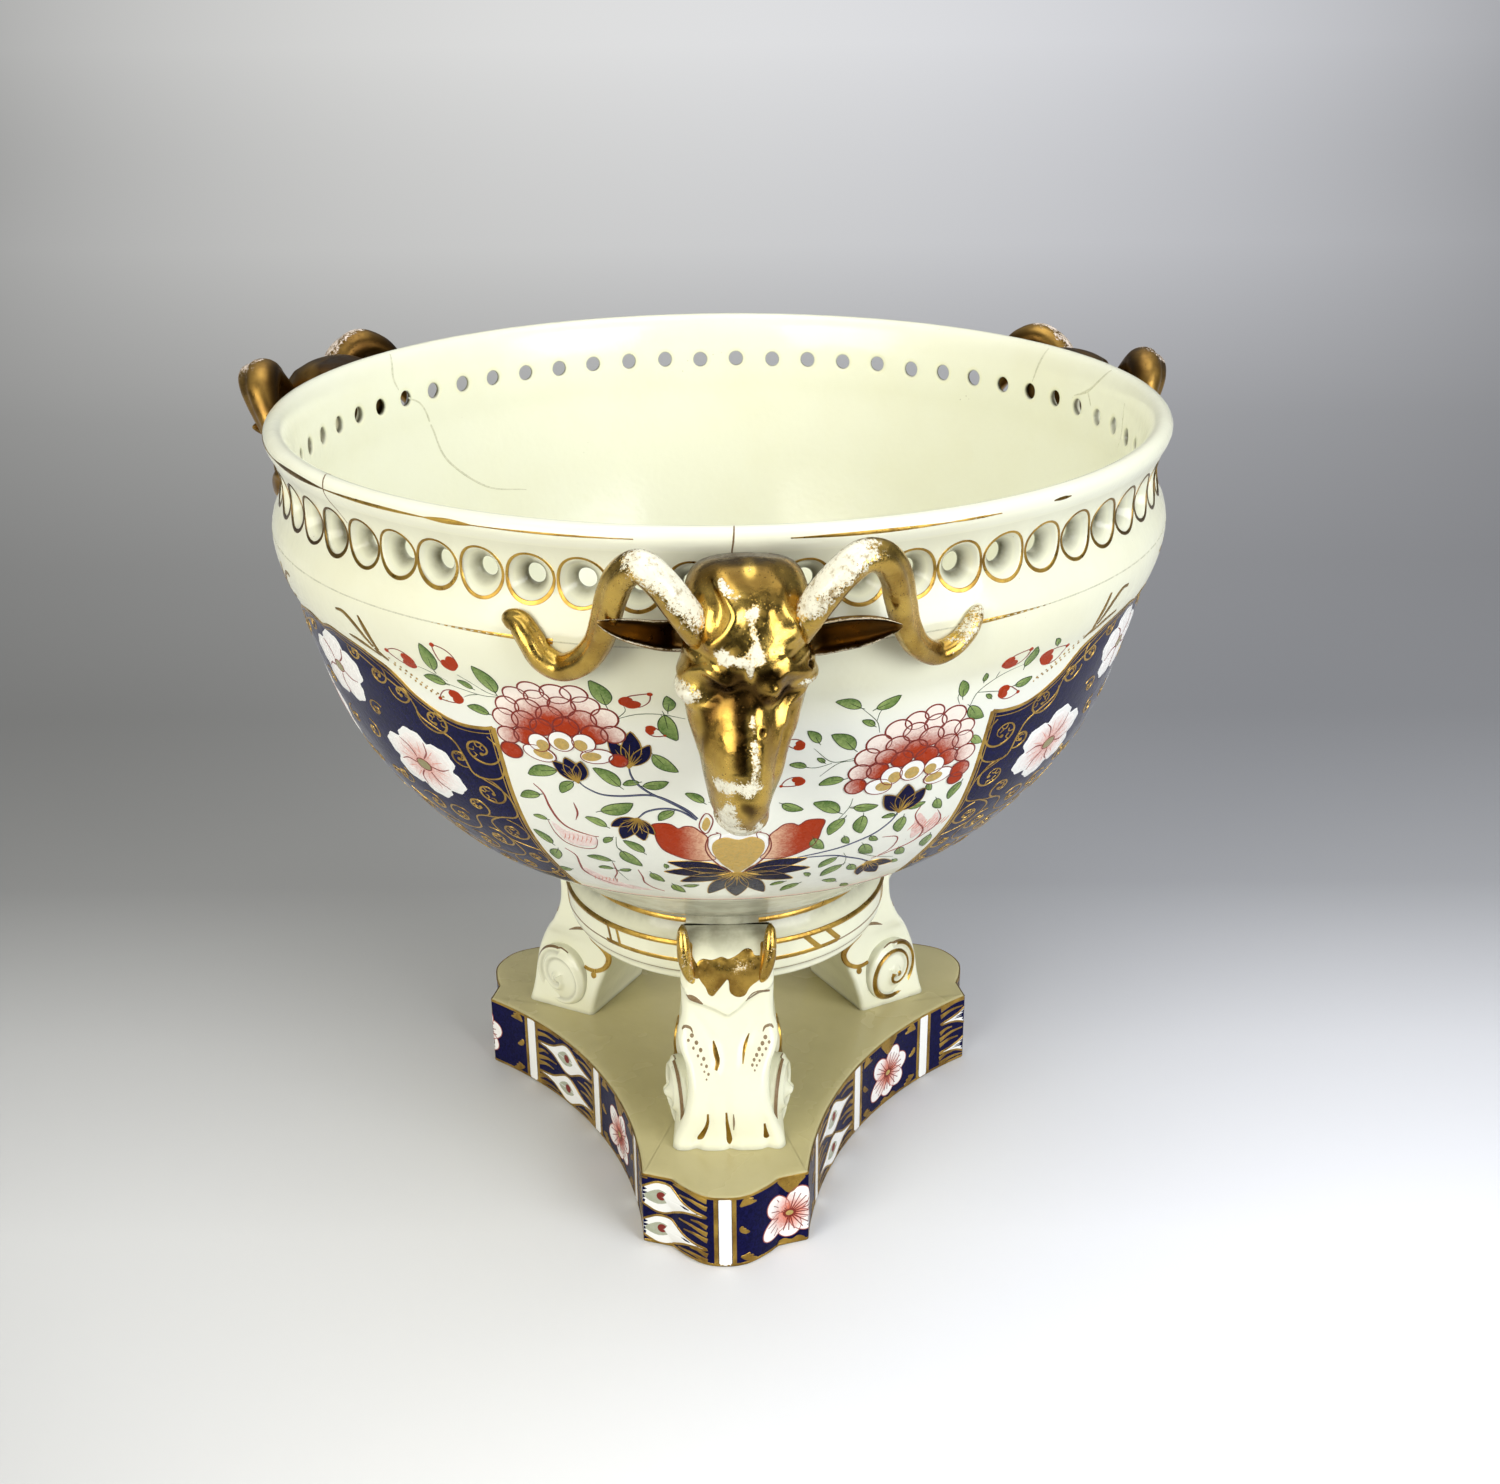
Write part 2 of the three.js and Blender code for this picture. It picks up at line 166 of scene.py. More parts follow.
class Form:
    """Collects points and faces in millimetres, with a tint for each point, for one object."""

    def __init__(self):
        self.points, self.tints, self.faces, self.total = [], [], [], 0

    def add(self, points, faces, tint=0.0):
        """Adds points, and faces that count from the first of them."""
        points = np.asarray(points, float).reshape(-1, 3)
        self.faces += [tuple(int(i) + self.total for i in f) for f in faces]
        self.points.append(points)
        self.tints.append(np.broadcast_to(np.asarray(tint, float), len(points)))
        self.total += len(points)

    def grid(self, rows, tint=0.0, wrap=True, caps=True):
        """A sheet of quads over rows of points, closed round each row with wrap, and capped."""
        rows = np.asarray(rows, float)
        n, m = rows.shape[:2]
        faces = []
        for i in range(n - 1):
            for j in range(m if wrap else m - 1):
                k = (j + 1) % m
                faces.append((i * m + j, i * m + k, (i + 1) * m + k, (i + 1) * m + j))
        if caps:
            faces.append(tuple(range(m - 1, -1, -1)))
            faces.append(tuple((n - 1) * m + j for j in range(m)))
        self.add(rows, faces, np.asarray(tint, float).ravel() if np.ndim(tint) else tint)

    def repeated(self, count=PANELS):
        """The same form set evenly round the upright axis."""
        out = Form()
        points, tints = np.concatenate(self.points), np.concatenate(self.tints)
        for k in range(count):
            out.add(round_axis(points, 360 * k / count), self.faces, tints)
        return out

    def build(self, name, material, slot, sharp=40, nodes=()):
        """The form as an object that rides on the body, with smooth faces and an outward skin."""
        mesh = bpy.data.meshes.new(name)
        mesh.from_pydata((np.concatenate(self.points) * MM).tolist(), [], self.faces)
        tints = np.concatenate(self.tints).astype(np.float32)
        mesh.attributes.new("tint", "FLOAT", "POINT").data.foreach_set("value", tints)
        work = bmesh.new()
        work.from_mesh(mesh)
        bmesh.ops.recalc_face_normals(work, faces=work.faces)
        work.to_mesh(mesh)
        work.free()
        smoothed(mesh, sharp)
        mesh.materials.append(material)
        piece = bpy.data.objects.new(name, mesh)
        bpy.context.scene.collection.objects.link(piece)
        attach(piece, "root")
        if nodes:
            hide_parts(*nodes)


def smoothed(mesh, sharp):
    """Smooth faces, with the edges sharper than an angle in degrees left crisp."""
    mesh.polygons.foreach_set("use_smooth", [True] * len(mesh.polygons))
    mesh.set_sharp_from_angle(angle=math.radians(sharp))


def skin(rows, tints, name, material, slot, nodes, sharp=40):
    """One object that is a closed skin over rows of points."""
    form = Form()
    form.grid(np.array(rows), tints)
    form.build(name, material, slot, sharp, nodes)


# Materials


class Nodes:
    """A short way to write a node tree, which starts empty."""

    def __init__(self, owner, place="Object"):
        owner.use_nodes = True
        self.owner = owner
        self.tree = owner.node_tree
        self.tree.nodes.clear()
        self.place = self.add("ShaderNodeTexCoord").outputs[place]

    def add(self, kind, **settings):
        node = self.tree.nodes.new(kind)
        for key, value in settings.items():
            setattr(node, key, value)
        return node

    def fill(self, node, **values):
        """Sets or links a node's inputs by their names, with _ for a space."""
        for key, value in values.items():
            self.link(value, node.inputs[key.replace("_", " ")])
        return node

    def link(self, value, socket):
        """Links a socket to another, or sets its number or colour."""
        if isinstance(value, bpy.types.NodeSocket):
            self.tree.links.new(value, socket)
        elif isinstance(value, tuple) and len(value) == 3:
            socket.default_value = (*value, 1)
        else:
            socket.default_value = value

    def axes(self):
        """The place's x, y and z."""
        node = self.add("ShaderNodeSeparateXYZ")
        self.link(self.place, node.inputs[0])
        return node.outputs

    def noise(self, scale, detail=4, roughness=0.55, distortion=0.0):
        node = self.fill(self.add("ShaderNodeTexNoise"), Vector=self.place, Scale=scale, Detail=detail)
        return self.fill(node, Roughness=roughness, Distortion=distortion).outputs["Fac"]

    def spots(self, scale):
        node = self.add("ShaderNodeTexVoronoi")
        return self.fill(node, Vector=self.place, Scale=scale).outputs["Distance"]

    def stretch(self, value, low, high, to_low=0.0, to_high=1.0, kind="SMOOTHSTEP"):
        """A value carried from one range to another, smoothly and held at the ends."""
        node = self.add("ShaderNodeMapRange", interpolation_type=kind)
        self.fill(node, Value=value, From_Min=low, From_Max=high, To_Min=to_low, To_Max=to_high)
        return node.outputs["Result"]

    def calc(self, kind, *values):
        """A sum, product or the like, taken from the left."""
        total = values[0]
        for value in values[1:]:
            node = self.add("ShaderNodeMath", operation=kind)
            self.link(total, node.inputs[0])
            self.link(value, node.inputs[1])
            total = node.outputs[0]
        return total

    def times(self, *values):
        return self.calc("MULTIPLY", *values)

    def plus(self, *values):
        return self.calc("ADD", *values)

    def mix(self, share, a, b, blend="MIX"):
        node = self.add("ShaderNodeMix", data_type="RGBA", blend_type=blend)
        self.link(share, node.inputs["Factor"])
        self.link(a, node.inputs[6])
        self.link(b, node.inputs[7])
        return node.outputs[2]

    def tint(self):
        return self.add("ShaderNodeAttribute", attribute_name="tint").outputs["Fac"]

    def bump(self, height, strength, distance):
        node = self.add("ShaderNodeBump")
        return self.fill(node, Height=height, Strength=strength, Distance=distance).outputs["Normal"]

    def surface(self, colour, roughness, **more):
        """The shader at the end of a material's tree."""
        shader = self.add("ShaderNodeBsdfPrincipled")
        self.fill(shader, Base_Color=colour, Roughness=roughness, **more)
        self.fill(self.add("ShaderNodeOutputMaterial"), Surface=shader.outputs[0])
        return self.owner


IVORY = (0.84, 0.84, 0.65)
IVORY_SHADE = (0.77, 0.74, 0.49)
IVORY_PALE = (0.86, 0.87, 0.78)
KHAKI = (0.54, 0.48, 0.25)
KHAKI_SHADE = (0.40, 0.35, 0.15)
GOLD = (0.66, 0.44, 0.10)
GOLD_DARK = (0.34, 0.20, 0.04)
# A dark olive for grime and for painted shade
SHADE_AND_GRIME = (0.13, 0.12, 0.07)
SPECK = (0.30, 0.24, 0.14)
GOLD_PIT = (0.10, 0.055, 0.015)
GOLD_GRIME_AND_SHADE = (0.055, 0.026, 0.006)
BARE_CLAY = (0.42, 0.34, 0.20)


def glaze(name, light, shade, roughness=0.12):
    """Glazed ironstone: a cloudy body, faint specks and a slightly uneven gloss.

    Tint above nothing is soiling and painted shade, and below it a paler, cooler body.
    """
    n = Nodes(bpy.data.materials.new(name))
    cloud = n.stretch(n.noise(28, 5, 0.6), 0.35, 0.75)
    colour = n.mix(n.times(cloud, 0.35), light, shade)
    pale = n.stretch(n.tint(), -1.0, 0.0, 1.0, 0.0)
    colour = n.mix(pale, colour, IVORY_PALE)
    # Painted shade and grime: tint above nothing darkens the glaze towards the dark olive
    dirt_and_shade = n.calc("MAXIMUM", n.tint(), 0.0)
    grime_and_shade = n.times(dirt_and_shade, n.stretch(n.noise(140, 4), 0.3, 0.7, 0.55, 1.0))
    colour = n.mix(grime_and_shade, colour, SHADE_AND_GRIME)
    specks = n.stretch(n.spots(420), 0.05, 0.11, 0.5, 0.0)
    rare = n.stretch(n.noise(60, 2), 0.62, 0.7)
    colour = n.mix(n.times(specks, rare), colour, SPECK)
    ripple = n.plus(n.noise(90, 3), n.times(n.noise(600, 3), 0.15))
    gloss = n.stretch(n.noise(40, 3), 0.3, 0.7, roughness, roughness + 0.1)
    return n.surface(colour, gloss, Normal=n.bump(ripple, 0.10, 0.002), Specular_IOR_Level=0.4)


def enamel(name, pale, deep, roughness, streak=0.25, shine=0.25):
    """A brushed ceramic colour: tint runs from the pale to the deep shade, in uneven strokes."""
    n = Nodes(bpy.data.materials.new(name))
    share = n.plus(n.tint(), n.stretch(n.noise(900, 3, 0.6, 1.5), 0.25, 0.75, -streak, streak))
    colour = n.mix(n.stretch(share, 0, 1), pale, deep)
    gloss = n.stretch(n.noise(300, 2), 0.3, 0.7, roughness, roughness + 0.12)
    ripple = n.bump(n.noise(700, 3), 0.15, 0.0004)
    return n.surface(colour, gloss, Normal=ripple, Specular_IOR_Level=shine)


def gilt(name, under, worn, roughness, grain, gold=GOLD, dark=GOLD_DARK):
    """Gilding that has rubbed through to the glaze in feathery patches and specks.

    Tint above nothing adds wear, and below it a dark brown that is old soiling and painted shade in the
    hollows and on the backs.
    """
    n = Nodes(bpy.data.materials.new(name))
    coarse = n.stretch(n.noise(grain, 6, 0.7, 0.8), 0.3, 0.7, -0.5, 0.5)
    fine = n.stretch(n.noise(grain * 7, 4, 0.8), 0.28, 0.72, -0.5, 0.5)
    cloud = n.plus(n.times(coarse, 0.75), n.times(fine, 0.95))
    threshold = n.plus(n.times(n.tint(), 1.2), cloud)
    wear = n.stretch(threshold, 0.92 - worn * 0.5, 1.16 - worn * 0.5)
    tone = n.mix(n.stretch(n.noise(grain * 0.4, 5), 0.35, 0.7), gold, dark)
    pits = n.stretch(n.spots(grain * 6), 0.10, 0.24, 1.0, 0.0)
    pitted = n.times(pits, n.stretch(n.noise(grain * 0.9, 3), 0.50, 0.60))
    tone = n.mix(pitted, tone, GOLD_PIT)
    # Old grime and painted shade: tint below nothing darkens the gold to dark brown
    tone = n.mix(n.stretch(n.tint(), -1, 0, 0.95, 0), tone, GOLD_GRIME_AND_SHADE)
    bare = n.mix(n.stretch(n.noise(grain * 2.2, 5, 0.7), 0.50, 0.70), under, BARE_CLAY)
    colour = n.mix(wear, tone, bare)
    metal = n.stretch(wear, 0, 1, 1, 0)
    gloss = n.stretch(n.noise(grain * 1.5, 3), 0.3, 0.7, roughness - 0.08, roughness + 0.08)
    height = n.calc("SUBTRACT", n.times(n.noise(grain * 2, 5), 0.7), n.plus(wear, pitted))
    return n.surface(colour, gloss, Metallic=metal, Normal=n.bump(height, 0.35, 0.0003))


# The chart

OUTSIDE_LINE = smooth_line(BOWL_OUTSIDE, PROFILE_SAMPLES)
OUTER = profile_tables(OUTSIDE_LINE, np.interp(CHART_MIDDLE_UP, OUTSIDE_LINE[:, 1], lengths(OUTSIDE_LINE)))


def chart_y(up):
    """The chart's y at a height in millimetres on the bowl's wall."""
    along, _, ups = OUTER[:3]
    below_lip = slice(0, -20)
    return CHART_MIDDLE - CHART_PER_MM * np.interp(up, ups[below_lip], along[below_lip])


def on_bowl(chart, lift):
    """Chart points raised by a lift in millimetres over the bowl's outside."""
    chart = np.asarray(chart, float)
    bearing = (chart[..., 0] - CHART_AXIS) / CHART_PER_DEGREE + BOWL_TURN
    return over_profile(OUTER, (CHART_MIDDLE - chart[..., 1]) / CHART_PER_MM, bearing, lift)


# Painting: every mark is a thin closed film, whose edge sinks into the glaze

SUNK = -0.05
THINNEST = 0.15
CROSS = np.array([-1, -0.72, 0, 0.72, 1])
CROSS_RISE = np.array([0, 0.85, 1, 0.85, 0])


def stroke(form, path, width, base=0.0, rise=0.1, tint=0.0, spacing=5.0, closed=False, ground=on_bowl):
    """A brush stroke along a path. The width is a number, or a function of the share of the way."""
    line = resampled(path, spacing, closed)
    if closed:
        line = line[:-1]
    normal = beside(directions(line, closed))
    t = np.linspace(0, 1, len(line))
    half = 0.5 * (width(t) if callable(width) else np.full(len(t), float(width)))
    half = np.maximum(half, THINNEST)
    rows = line[:, None, :] + normal[:, None, :] * half[:, None, None] * CROSS[None, :, None]
    lifts = np.where(CROSS_RISE > 0, base + rise * CROSS_RISE, base + SUNK)
    top = ground(rows, np.broadcast_to(lifts, rows.shape[:2]))
    under = ground(line[:, None, :], np.full((len(line), 1), base + 2 * SUNK))
    rings = np.concatenate([top, under], 1)
    tints = np.broadcast_to(float(tint), rings.shape[:2])
    if closed:
        rings, tints = np.concatenate([rings, rings[:1]]), np.concatenate([tints, tints[:1]])
    form.grid(rings, tints, caps=not closed)


def taper(width, start=0.15, end=0.1, belly=0.45):
    """A width that swells to its full measure and dies away, as a brush does."""
    def of(t):
        rise = np.clip(t / belly, 0, 1)
        fall = np.clip((1 - t) / (1 - belly), 0, 1)
        swelling = start + (1 - start) * np.sin(rise * np.pi / 2)
        dying = end + (1 - end) * np.sin(fall * np.pi / 2)
        return width * np.where(t < belly, swelling, dying)
    return of


# Where a blot's inner rings lie, from its centre to its edge
BLOT_RINGS = (0.35, 0.7, 0.9)


def blot(form, outline, centre, base=0.0, rise=0.08, tint=0.0, rings=BLOT_RINGS, ground=on_bowl, smooth=4):
    """A filled shape that its centre can see all of. The tint may depend on the chart's points."""
    edge = smooth_line(outline, smooth, closed=True) if smooth else np.asarray(outline, float)
    centre = np.asarray(centre, float)
    steps = [*rings, 0.97, 1.0, 1.0]
    lifts = [base + rise] * len(rings) + [base + rise * 0.9, base + SUNK, base + 2 * SUNK]
    rows = [centre + (edge - centre) * step for step in steps]
    points = [ground(row, np.full(len(row), lift)) for row, lift in zip(rows, lifts)]
    chart = np.concatenate([*rows, centre[None], centre[None]])
    ends = ground(np.stack([centre, centre]), np.array([base + rise, base + 2 * SUNK]))
    m, n = len(edge), len(steps)
    faces = [
        (i * m + j, i * m + (j + 1) % m, (i + 1) * m + (j + 1) % m, (i + 1) * m + j)
        for i in range(n - 1) for j in range(m)
    ]
    faces += [(n * m, (j + 1) % m, j) for j in range(m)]
    faces += [(n * m + 1, (n - 1) * m + j, (n - 1) * m + (j + 1) % m) for j in range(m)]
    form.add(np.concatenate([*points, ends]), faces, tint(chart) if callable(tint) else tint)


def circle(x, y, radius, count, squash=1.0, lean=0.0):
    """A ring of chart points."""
    a = np.linspace(0, 2 * np.pi, count, endpoint=False)
    p = np.stack([radius * np.cos(a), radius * squash * np.sin(a)], 1)
    c, s = heading(lean)
    return p @ np.array([[c, s], [-s, c]]) + (x, y)


def dot(form, x, y, radius, count, *look, squash=1.0, lean=0.0, **more):
    """A round or oval blot."""
    blot(form, circle(x, y, radius, count, squash, lean), (x, y), *look, **more)


def heading(angle):
    """The unit direction at an angle in degrees."""
    return np.array([math.cos(math.radians(angle)), math.sin(math.radians(angle))])


def leaf_edge(line, width):
    """The outline of a leaf along its middle line."""
    p = resampled(line, np.linalg.norm(np.subtract(line[-1], line[0])) / 9)
    t = np.linspace(0, 1, len(p))
    half = 0.5 * width * np.sin(np.pi * t**0.85) ** 0.8
    out = beside(directions(p)) * half[:, None]
    return np.vstack([p + out, (p - out)[-2:0:-1]])


LEAF_FULLNESS = 0.46
LEAF_BEND = 0.08
# Where a peony's petals begin to pale outwards, and over what distance
PEONY_DEEP, PEONY_FADE = 48, 62


class Painting:
    """One form for each colour of the painted pattern."""

    COLOURS = (
        "cobalt", "gold", "red", "pink", "white", "green", "green_line", "outline", "ochre", "slate",
        "slate_pale", "brown", "sage", "hair", "rose",
    )

    def __init__(self):
        for colour in self.COLOURS:
            setattr(self, colour, Form())

    def leaf(self, x, y, angle, length, pale=0.0):
        """A green leaf about its middle, darker on one side, with a drawn edge, stalk and rib."""
        along = heading(angle)
        middle = np.array([x, y], float)
        stalk = middle - along * length / 2
        line = [stalk, middle + heading(angle + 90) * length * LEAF_BEND, middle + along * length / 2]
        width = length * LEAF_FULLNESS
        edge = leaf_edge(line, width)
        middle = np.mean(edge, axis=0)

        def shade(p):
            return np.clip(0.45 - pale + 0.5 * (p - middle) @ heading(angle + 70) / width, 0, 1)

        blot(self.green, edge, middle, 0.02, 0.05, shade, smooth=2)
        stroke(self.green_line, edge, 1.7, 0.04, 0.06, 0.75 - pale, closed=True)
        rib = [stalk - along * length * 0.16, *line[:2]]
        stroke(self.green_line, rib, taper(1.8, 0.5, 0.3), 0.05, 0.05, 0.8 - pale)

    def bud(self, x, y, tip_x, tip_y):
        """A red seed head: two lobes, an open outlined husk and a dot at its tip."""
        base, tip = np.array([x, y], float), np.array([tip_x, tip_y], float)
        along = tip - base
        size = np.linalg.norm(along)
        angle = math.degrees(math.atan2(along[1], along[0]))
        husk = [base - along * 0.1, base + along * 0.5 + heading(angle + 90) * size * 0.08, tip]
        stroke(self.outline, leaf_edge(husk, size * 0.62), 2.2, 0.0, 0.07, closed=True)
        for side, reach in ((-34, 0.16), (38, 0.24)):
            spot = base + heading(angle + side) * size * reach
            dot(self.red, *spot, size * 0.27, 12, 0.03, 0.06, 1.2, squash=0.76, lean=angle + side * 0.6)
        dot(self.red, tip_x, tip_y, size * 0.085, 10, 0.03, 0.07, 1.0)

    def bough(self, path):
        """A blue-grey double line."""
        stroke(self.slate, path, taper(5.6, 0.55, 0.7), 0.0, 0.06)
        stroke(self.slate_pale, path, taper(1.8, 0.4, 0.4), 0.05, 0.04)

    def petal(self, form, line, width, lift, rise, edging, edging_rise):
        """A pointed petal along its middle line, edged with gold."""
        edge = leaf_edge(line, width)
        blot(form, edge, np.mean(edge, axis=0), lift, rise, 0.6, smooth=2)
        stroke(self.gold, edge, edging, lift + 0.03, edging_rise, closed=True)

    def blue_flower(self, x, y, angles, spans, width, base=0.03):
        """Pointed cobalt petals from one point, outlined and veined in gold."""
        root = np.array([x, y], float)
        for k, (angle, length) in enumerate(zip(angles, spans)):
            lift = base + 0.03 * k
            way = heading(angle) * length
            line = [root + way * 0.12, root + heading(angle + 3) * length * 0.6, root + way]
            self.petal(self.cobalt, line, length * width, lift, 0.05, 1.9, 0.06)
            for lean, reach in ((-9, 0.5), (0, 0.66), (9, 0.5)):
                vein = [root, root + heading(angle + lean) * length * reach]
                stroke(self.gold, vein, taper(2.4, 0.8, 0.2, 0.3), lift + 0.06, 0.05)

    def peony(self, scales, heart, petals):
        """Overlapping scalloped petals round a heart, deep red inside and pale outside."""
        heart = np.asarray(heart, float)
        for k, (x, y, radius) in enumerate(scales):
            lift = 0.01 + 0.007 * k
            away = np.hypot(x - heart[0], y - heart[1])
            low = 0.75 * max(0.0, (y - heart[1] + 8) / 36)
            tone = 1.12 - max(0, away - PEONY_DEEP) / PEONY_FADE + low

            def shade(p):
                inward = (heart - (x, y)) / max(away, 1)
                return np.clip(tone + 0.32 * ((p - heart) @ inward + away) / radius, 0, 1)

            dot(self.rose, x, y, radius, 18, lift, 0.04, shade)
            stroke(self.outline, circle(x, y, radius, 18), 3.3, lift + 0.03, 0.05, closed=True, spacing=4)
        for k, (x, y, length, width, lean) in enumerate(petals):
            lift = 0.17 + 0.014 * k
            squash = width / length
            dot(self.white, x, y, length, 18, lift, 0.04, squash=squash, lean=lean)
            edge = circle(x, y, length, 18, squash, lean)
            stroke(self.outline, edge, 2.2, lift + 0.03, 0.05, closed=True, spacing=4)
            inner = np.array([x, y]) + (heart + (0, 26) - (x, y)) * 0.16
            dot(self.ochre, *inner, length * 0.62, 14, lift + 0.025, 0.045, 0.4, squash=squash, lean=lean)

    def finish(self, looks, prefix, count):
        """Builds one object for each colour in use, repeated round the axis."""
        for colour in self.COLOURS:
            form = getattr(self, colour)
            if form.total:
                slot = "gilding" if colour == "gold" else "ivory_glaze"
                form.repeated(count).build(prefix + colour, looks[colour], slot)


# Bowl

COLUMNS_EACH = 8
CELL_SIDE = 8
INSIDE_PALE = -0.35
# The tint of the outside by height: painted shade and grime at the foot under the bowl, a paler ground
# under the painted pattern
GROUND_UPS = [86, 92, 100, 105, 107.5, 163, 178]
GROUND_TINTS = [0.9, 0.65, 0.42, 0.22, -0.8, -0.9, 0.0]
# The lip's roll starts this far from the axis, and its middle is this high
ROLL_OUTSIDE, ROLL_MIDDLE = 112.5, 208
# A dished hole from the outside in, and its mouth on the inside: radius, depth and tint, paler near the
# rim, then painted shade deepening into the hole
DISH = [
    (HOLLOW_RADIUS, 0, 0.0), (5.28, -0.05, 0.0), (5.0, -0.3, -0.3), (4.6, -0.75, -0.3), (4.1, -1.35, 0.05),
    (3.5, -2.0, 0.4), (2.9, -2.6, 0.8), (2.45, -3.0, 1.0), (2.25, -3.35, 1.0), (PIERCING_RADIUS, -3.8, 0.9),
]
MOUTH = [(PIERCING_RADIUS, 0.45, 0.7), (2.3, 0.12, 0.3), (2.6, 0.0, 0.0), (3.6, 0.0, INSIDE_PALE)]


def ground_tint(up):
    """The tint of the bowl's outside at a height."""
    return float(np.interp(up, GROUND_UPS, GROUND_TINTS))


def lip_tint(out, up):
    """A painted shadow under the lip's roll outside, and paler glaze over and inside it."""
    return 0.08 if out > ROLL_OUTSIDE and up < ROLL_MIDDLE else -0.3


def split_profile(profile, low, high):
    """A smooth profile's rows below, between and above two heights, upwards."""
    line = smooth_line(profile, 12)
    order = line if line[0][1] < line[-1][1] else line[::-1]
    heights = order[:, 1]

    def at(up):
        k = np.argmax(heights > up)
        a, b = order[k - 1], order[k]
        return a + (b - a) * (up - a[1]) / (b[1] - a[1])

    below = np.vstack([order[heights < low], at(low)])
    above = np.vstack([at(high), order[np.argmax(heights > high):]])
    band = np.vstack([at(low), order[(heights > low) & (heights < high)], at(high)])
    return below, band, above


def evenly(rows, spacing):
    """Rows of a profile at even steps along it."""
    length = lengths(rows)[-1]
    return spaced(rows, np.linspace(0, length, max(2, int(length / spacing) + 2)))


class Shell:
    """Points, tints and faces of a wall that is put together from closed rows."""

    def __init__(self):
        self.points, self.tints, self.faces = [], [], []

    def row(self, radius, bearings, up, grime_and_shade):
        """Adds a point at each bearing, and returns their numbers."""
        start = len(self.points)
        self.points += list(polar(*np.broadcast_arrays(radius, bearings, up)))
        numbers = list(range(start, len(self.points)))
        self.tints += [grime_and_shade] * len(numbers)
        return numbers

    def join(self, rows):
        """Belts of quads between rows of equal length."""
        for low, high in zip(rows, rows[1:]):
            for k in range(len(low)):
                j = (k + 1) % len(low)
                self.faces.append((low[k], low[j], high[j], high[k]))

    def seams(self, bearings, ups, band, grime_and_shade):
        """Upright lines of points between one pierced cell and the next."""
        radii = np.interp(ups, band[:, 1], band[:, 0])
        return [self.row(radii, np.full(len(ups), b), ups, grime_and_shade) for b in bearings[::COLUMNS_EACH]]

    def pierce(self, centre, outer, inner, out_band, in_band, rng):
        """A dished hole between a cell's edge outside and its edge inside, a little uneven."""
        wobble = 1 + 0.02 * rng.standard_normal(2)
        shift = 0.12 * rng.standard_normal(2)
        edge = np.array([self.points[k] for k in outer])
        gap = (np.degrees(np.arctan2(edge[:, 0], -edge[:, 1])) - centre + 180) % 360 - 180
        half_up, half_round = (BAND_HIGH - BAND_LOW) / 2, 180 / PIERCINGS
        sides = np.arctan2((edge[:, 2] - PIERCING_UP) / half_up, gap / half_round)

        def ring(band, radius, depth, grime_and_shade):
            across = radius * np.cos(sides) * wobble[0] + shift[0]
            up = PIERCING_UP + radius * np.sin(sides) * wobble[1] + shift[1]
            out = np.interp(up, band[:, 1], band[:, 0]) + depth
            return self.row(out, centre + np.degrees(across / WALL_RADIUS), up, grime_and_shade)

        # The dish and the mouth carry painted shade down into the hole
        dish = [ring(out_band, *step) for step in DISH]
        mouth = [ring(in_band, *step) for step in MOUTH]
        self.join([outer, *dish, *mouth, inner])


def cell_edge(i, low_row, high_row, seams):
    """A pierced cell's edge, anticlockwise from its lower left corner as seen from outside."""
    first, last, count = i * COLUMNS_EACH, (i + 1) * COLUMNS_EACH, len(low_row)
    bottom = [low_row[j % count] for j in range(first, last)]
    right = [low_row[last % count], *seams[(i + 1) % PIERCINGS]]
    top = [high_row[j % count] for j in range(last, first, -1)]
    left = [high_row[first], *seams[i][::-1]]
    return bottom + right + top + left


def make_bowl(material):
    """The pierced bowl: two walls of rows and columns, joined through sixty dished holes."""
    rng = np.random.default_rng(SEED)
    shell = Shell()
    count = PIERCINGS * COLUMNS_EACH
    bearings = BOWL_TURN + (np.arange(count) - COLUMNS_EACH / 2) * (360 / count)
    out_below, out_band, out_above = split_profile(BOWL_OUTSIDE, BAND_LOW, BAND_HIGH)
    in_below, in_band, in_above = split_profile(BOWL_INSIDE, BAND_LOW, BAND_HIGH)
    lip = np.vstack([out_above, in_above[::-1][1:]])
    foot_rows = [shell.row(r, bearings, z, ground_tint(z)) for r, z in evenly(out_below, 1.8)]
    lip_rows = [shell.row(r, bearings, z, lip_tint(r, z)) for r, z in evenly(lip, 0.9)]
    inner_rows = [shell.row(max(r, 0.4), bearings, z, INSIDE_PALE) for r, z in evenly(in_below[::-1], 2.2)]
    for rows in (foot_rows, lip_rows, inner_rows):
        shell.join(rows)
    shell.faces.append(tuple(inner_rows[-1]))
    shell.faces.append(tuple(reversed(foot_rows[0])))
    seam_ups = np.linspace(BAND_LOW, BAND_HIGH, CELL_SIDE + 1)[1:-1]
    outer_seams = shell.seams(bearings, seam_ups, out_band, 0.0)
    inner_seams = shell.seams(bearings, seam_ups, in_band, INSIDE_PALE)
    for i in range(PIERCINGS):
        outer = cell_edge(i, foot_rows[-1], lip_rows[0], outer_seams)
        inner = cell_edge(i, inner_rows[0], lip_rows[-1], inner_seams)
        shell.pierce(BOWL_TURN + 360 / PIERCINGS * i, outer, inner, out_band, in_band, rng)
    form = Form()
    form.add(shell.points, shell.faces, shell.tints)
    form.build("bowl_body", material, "ivory_glaze", 60, ["bowl"])


# Painted pattern

# The height of the pattern's lower edge
PATTERN_LOW = 107
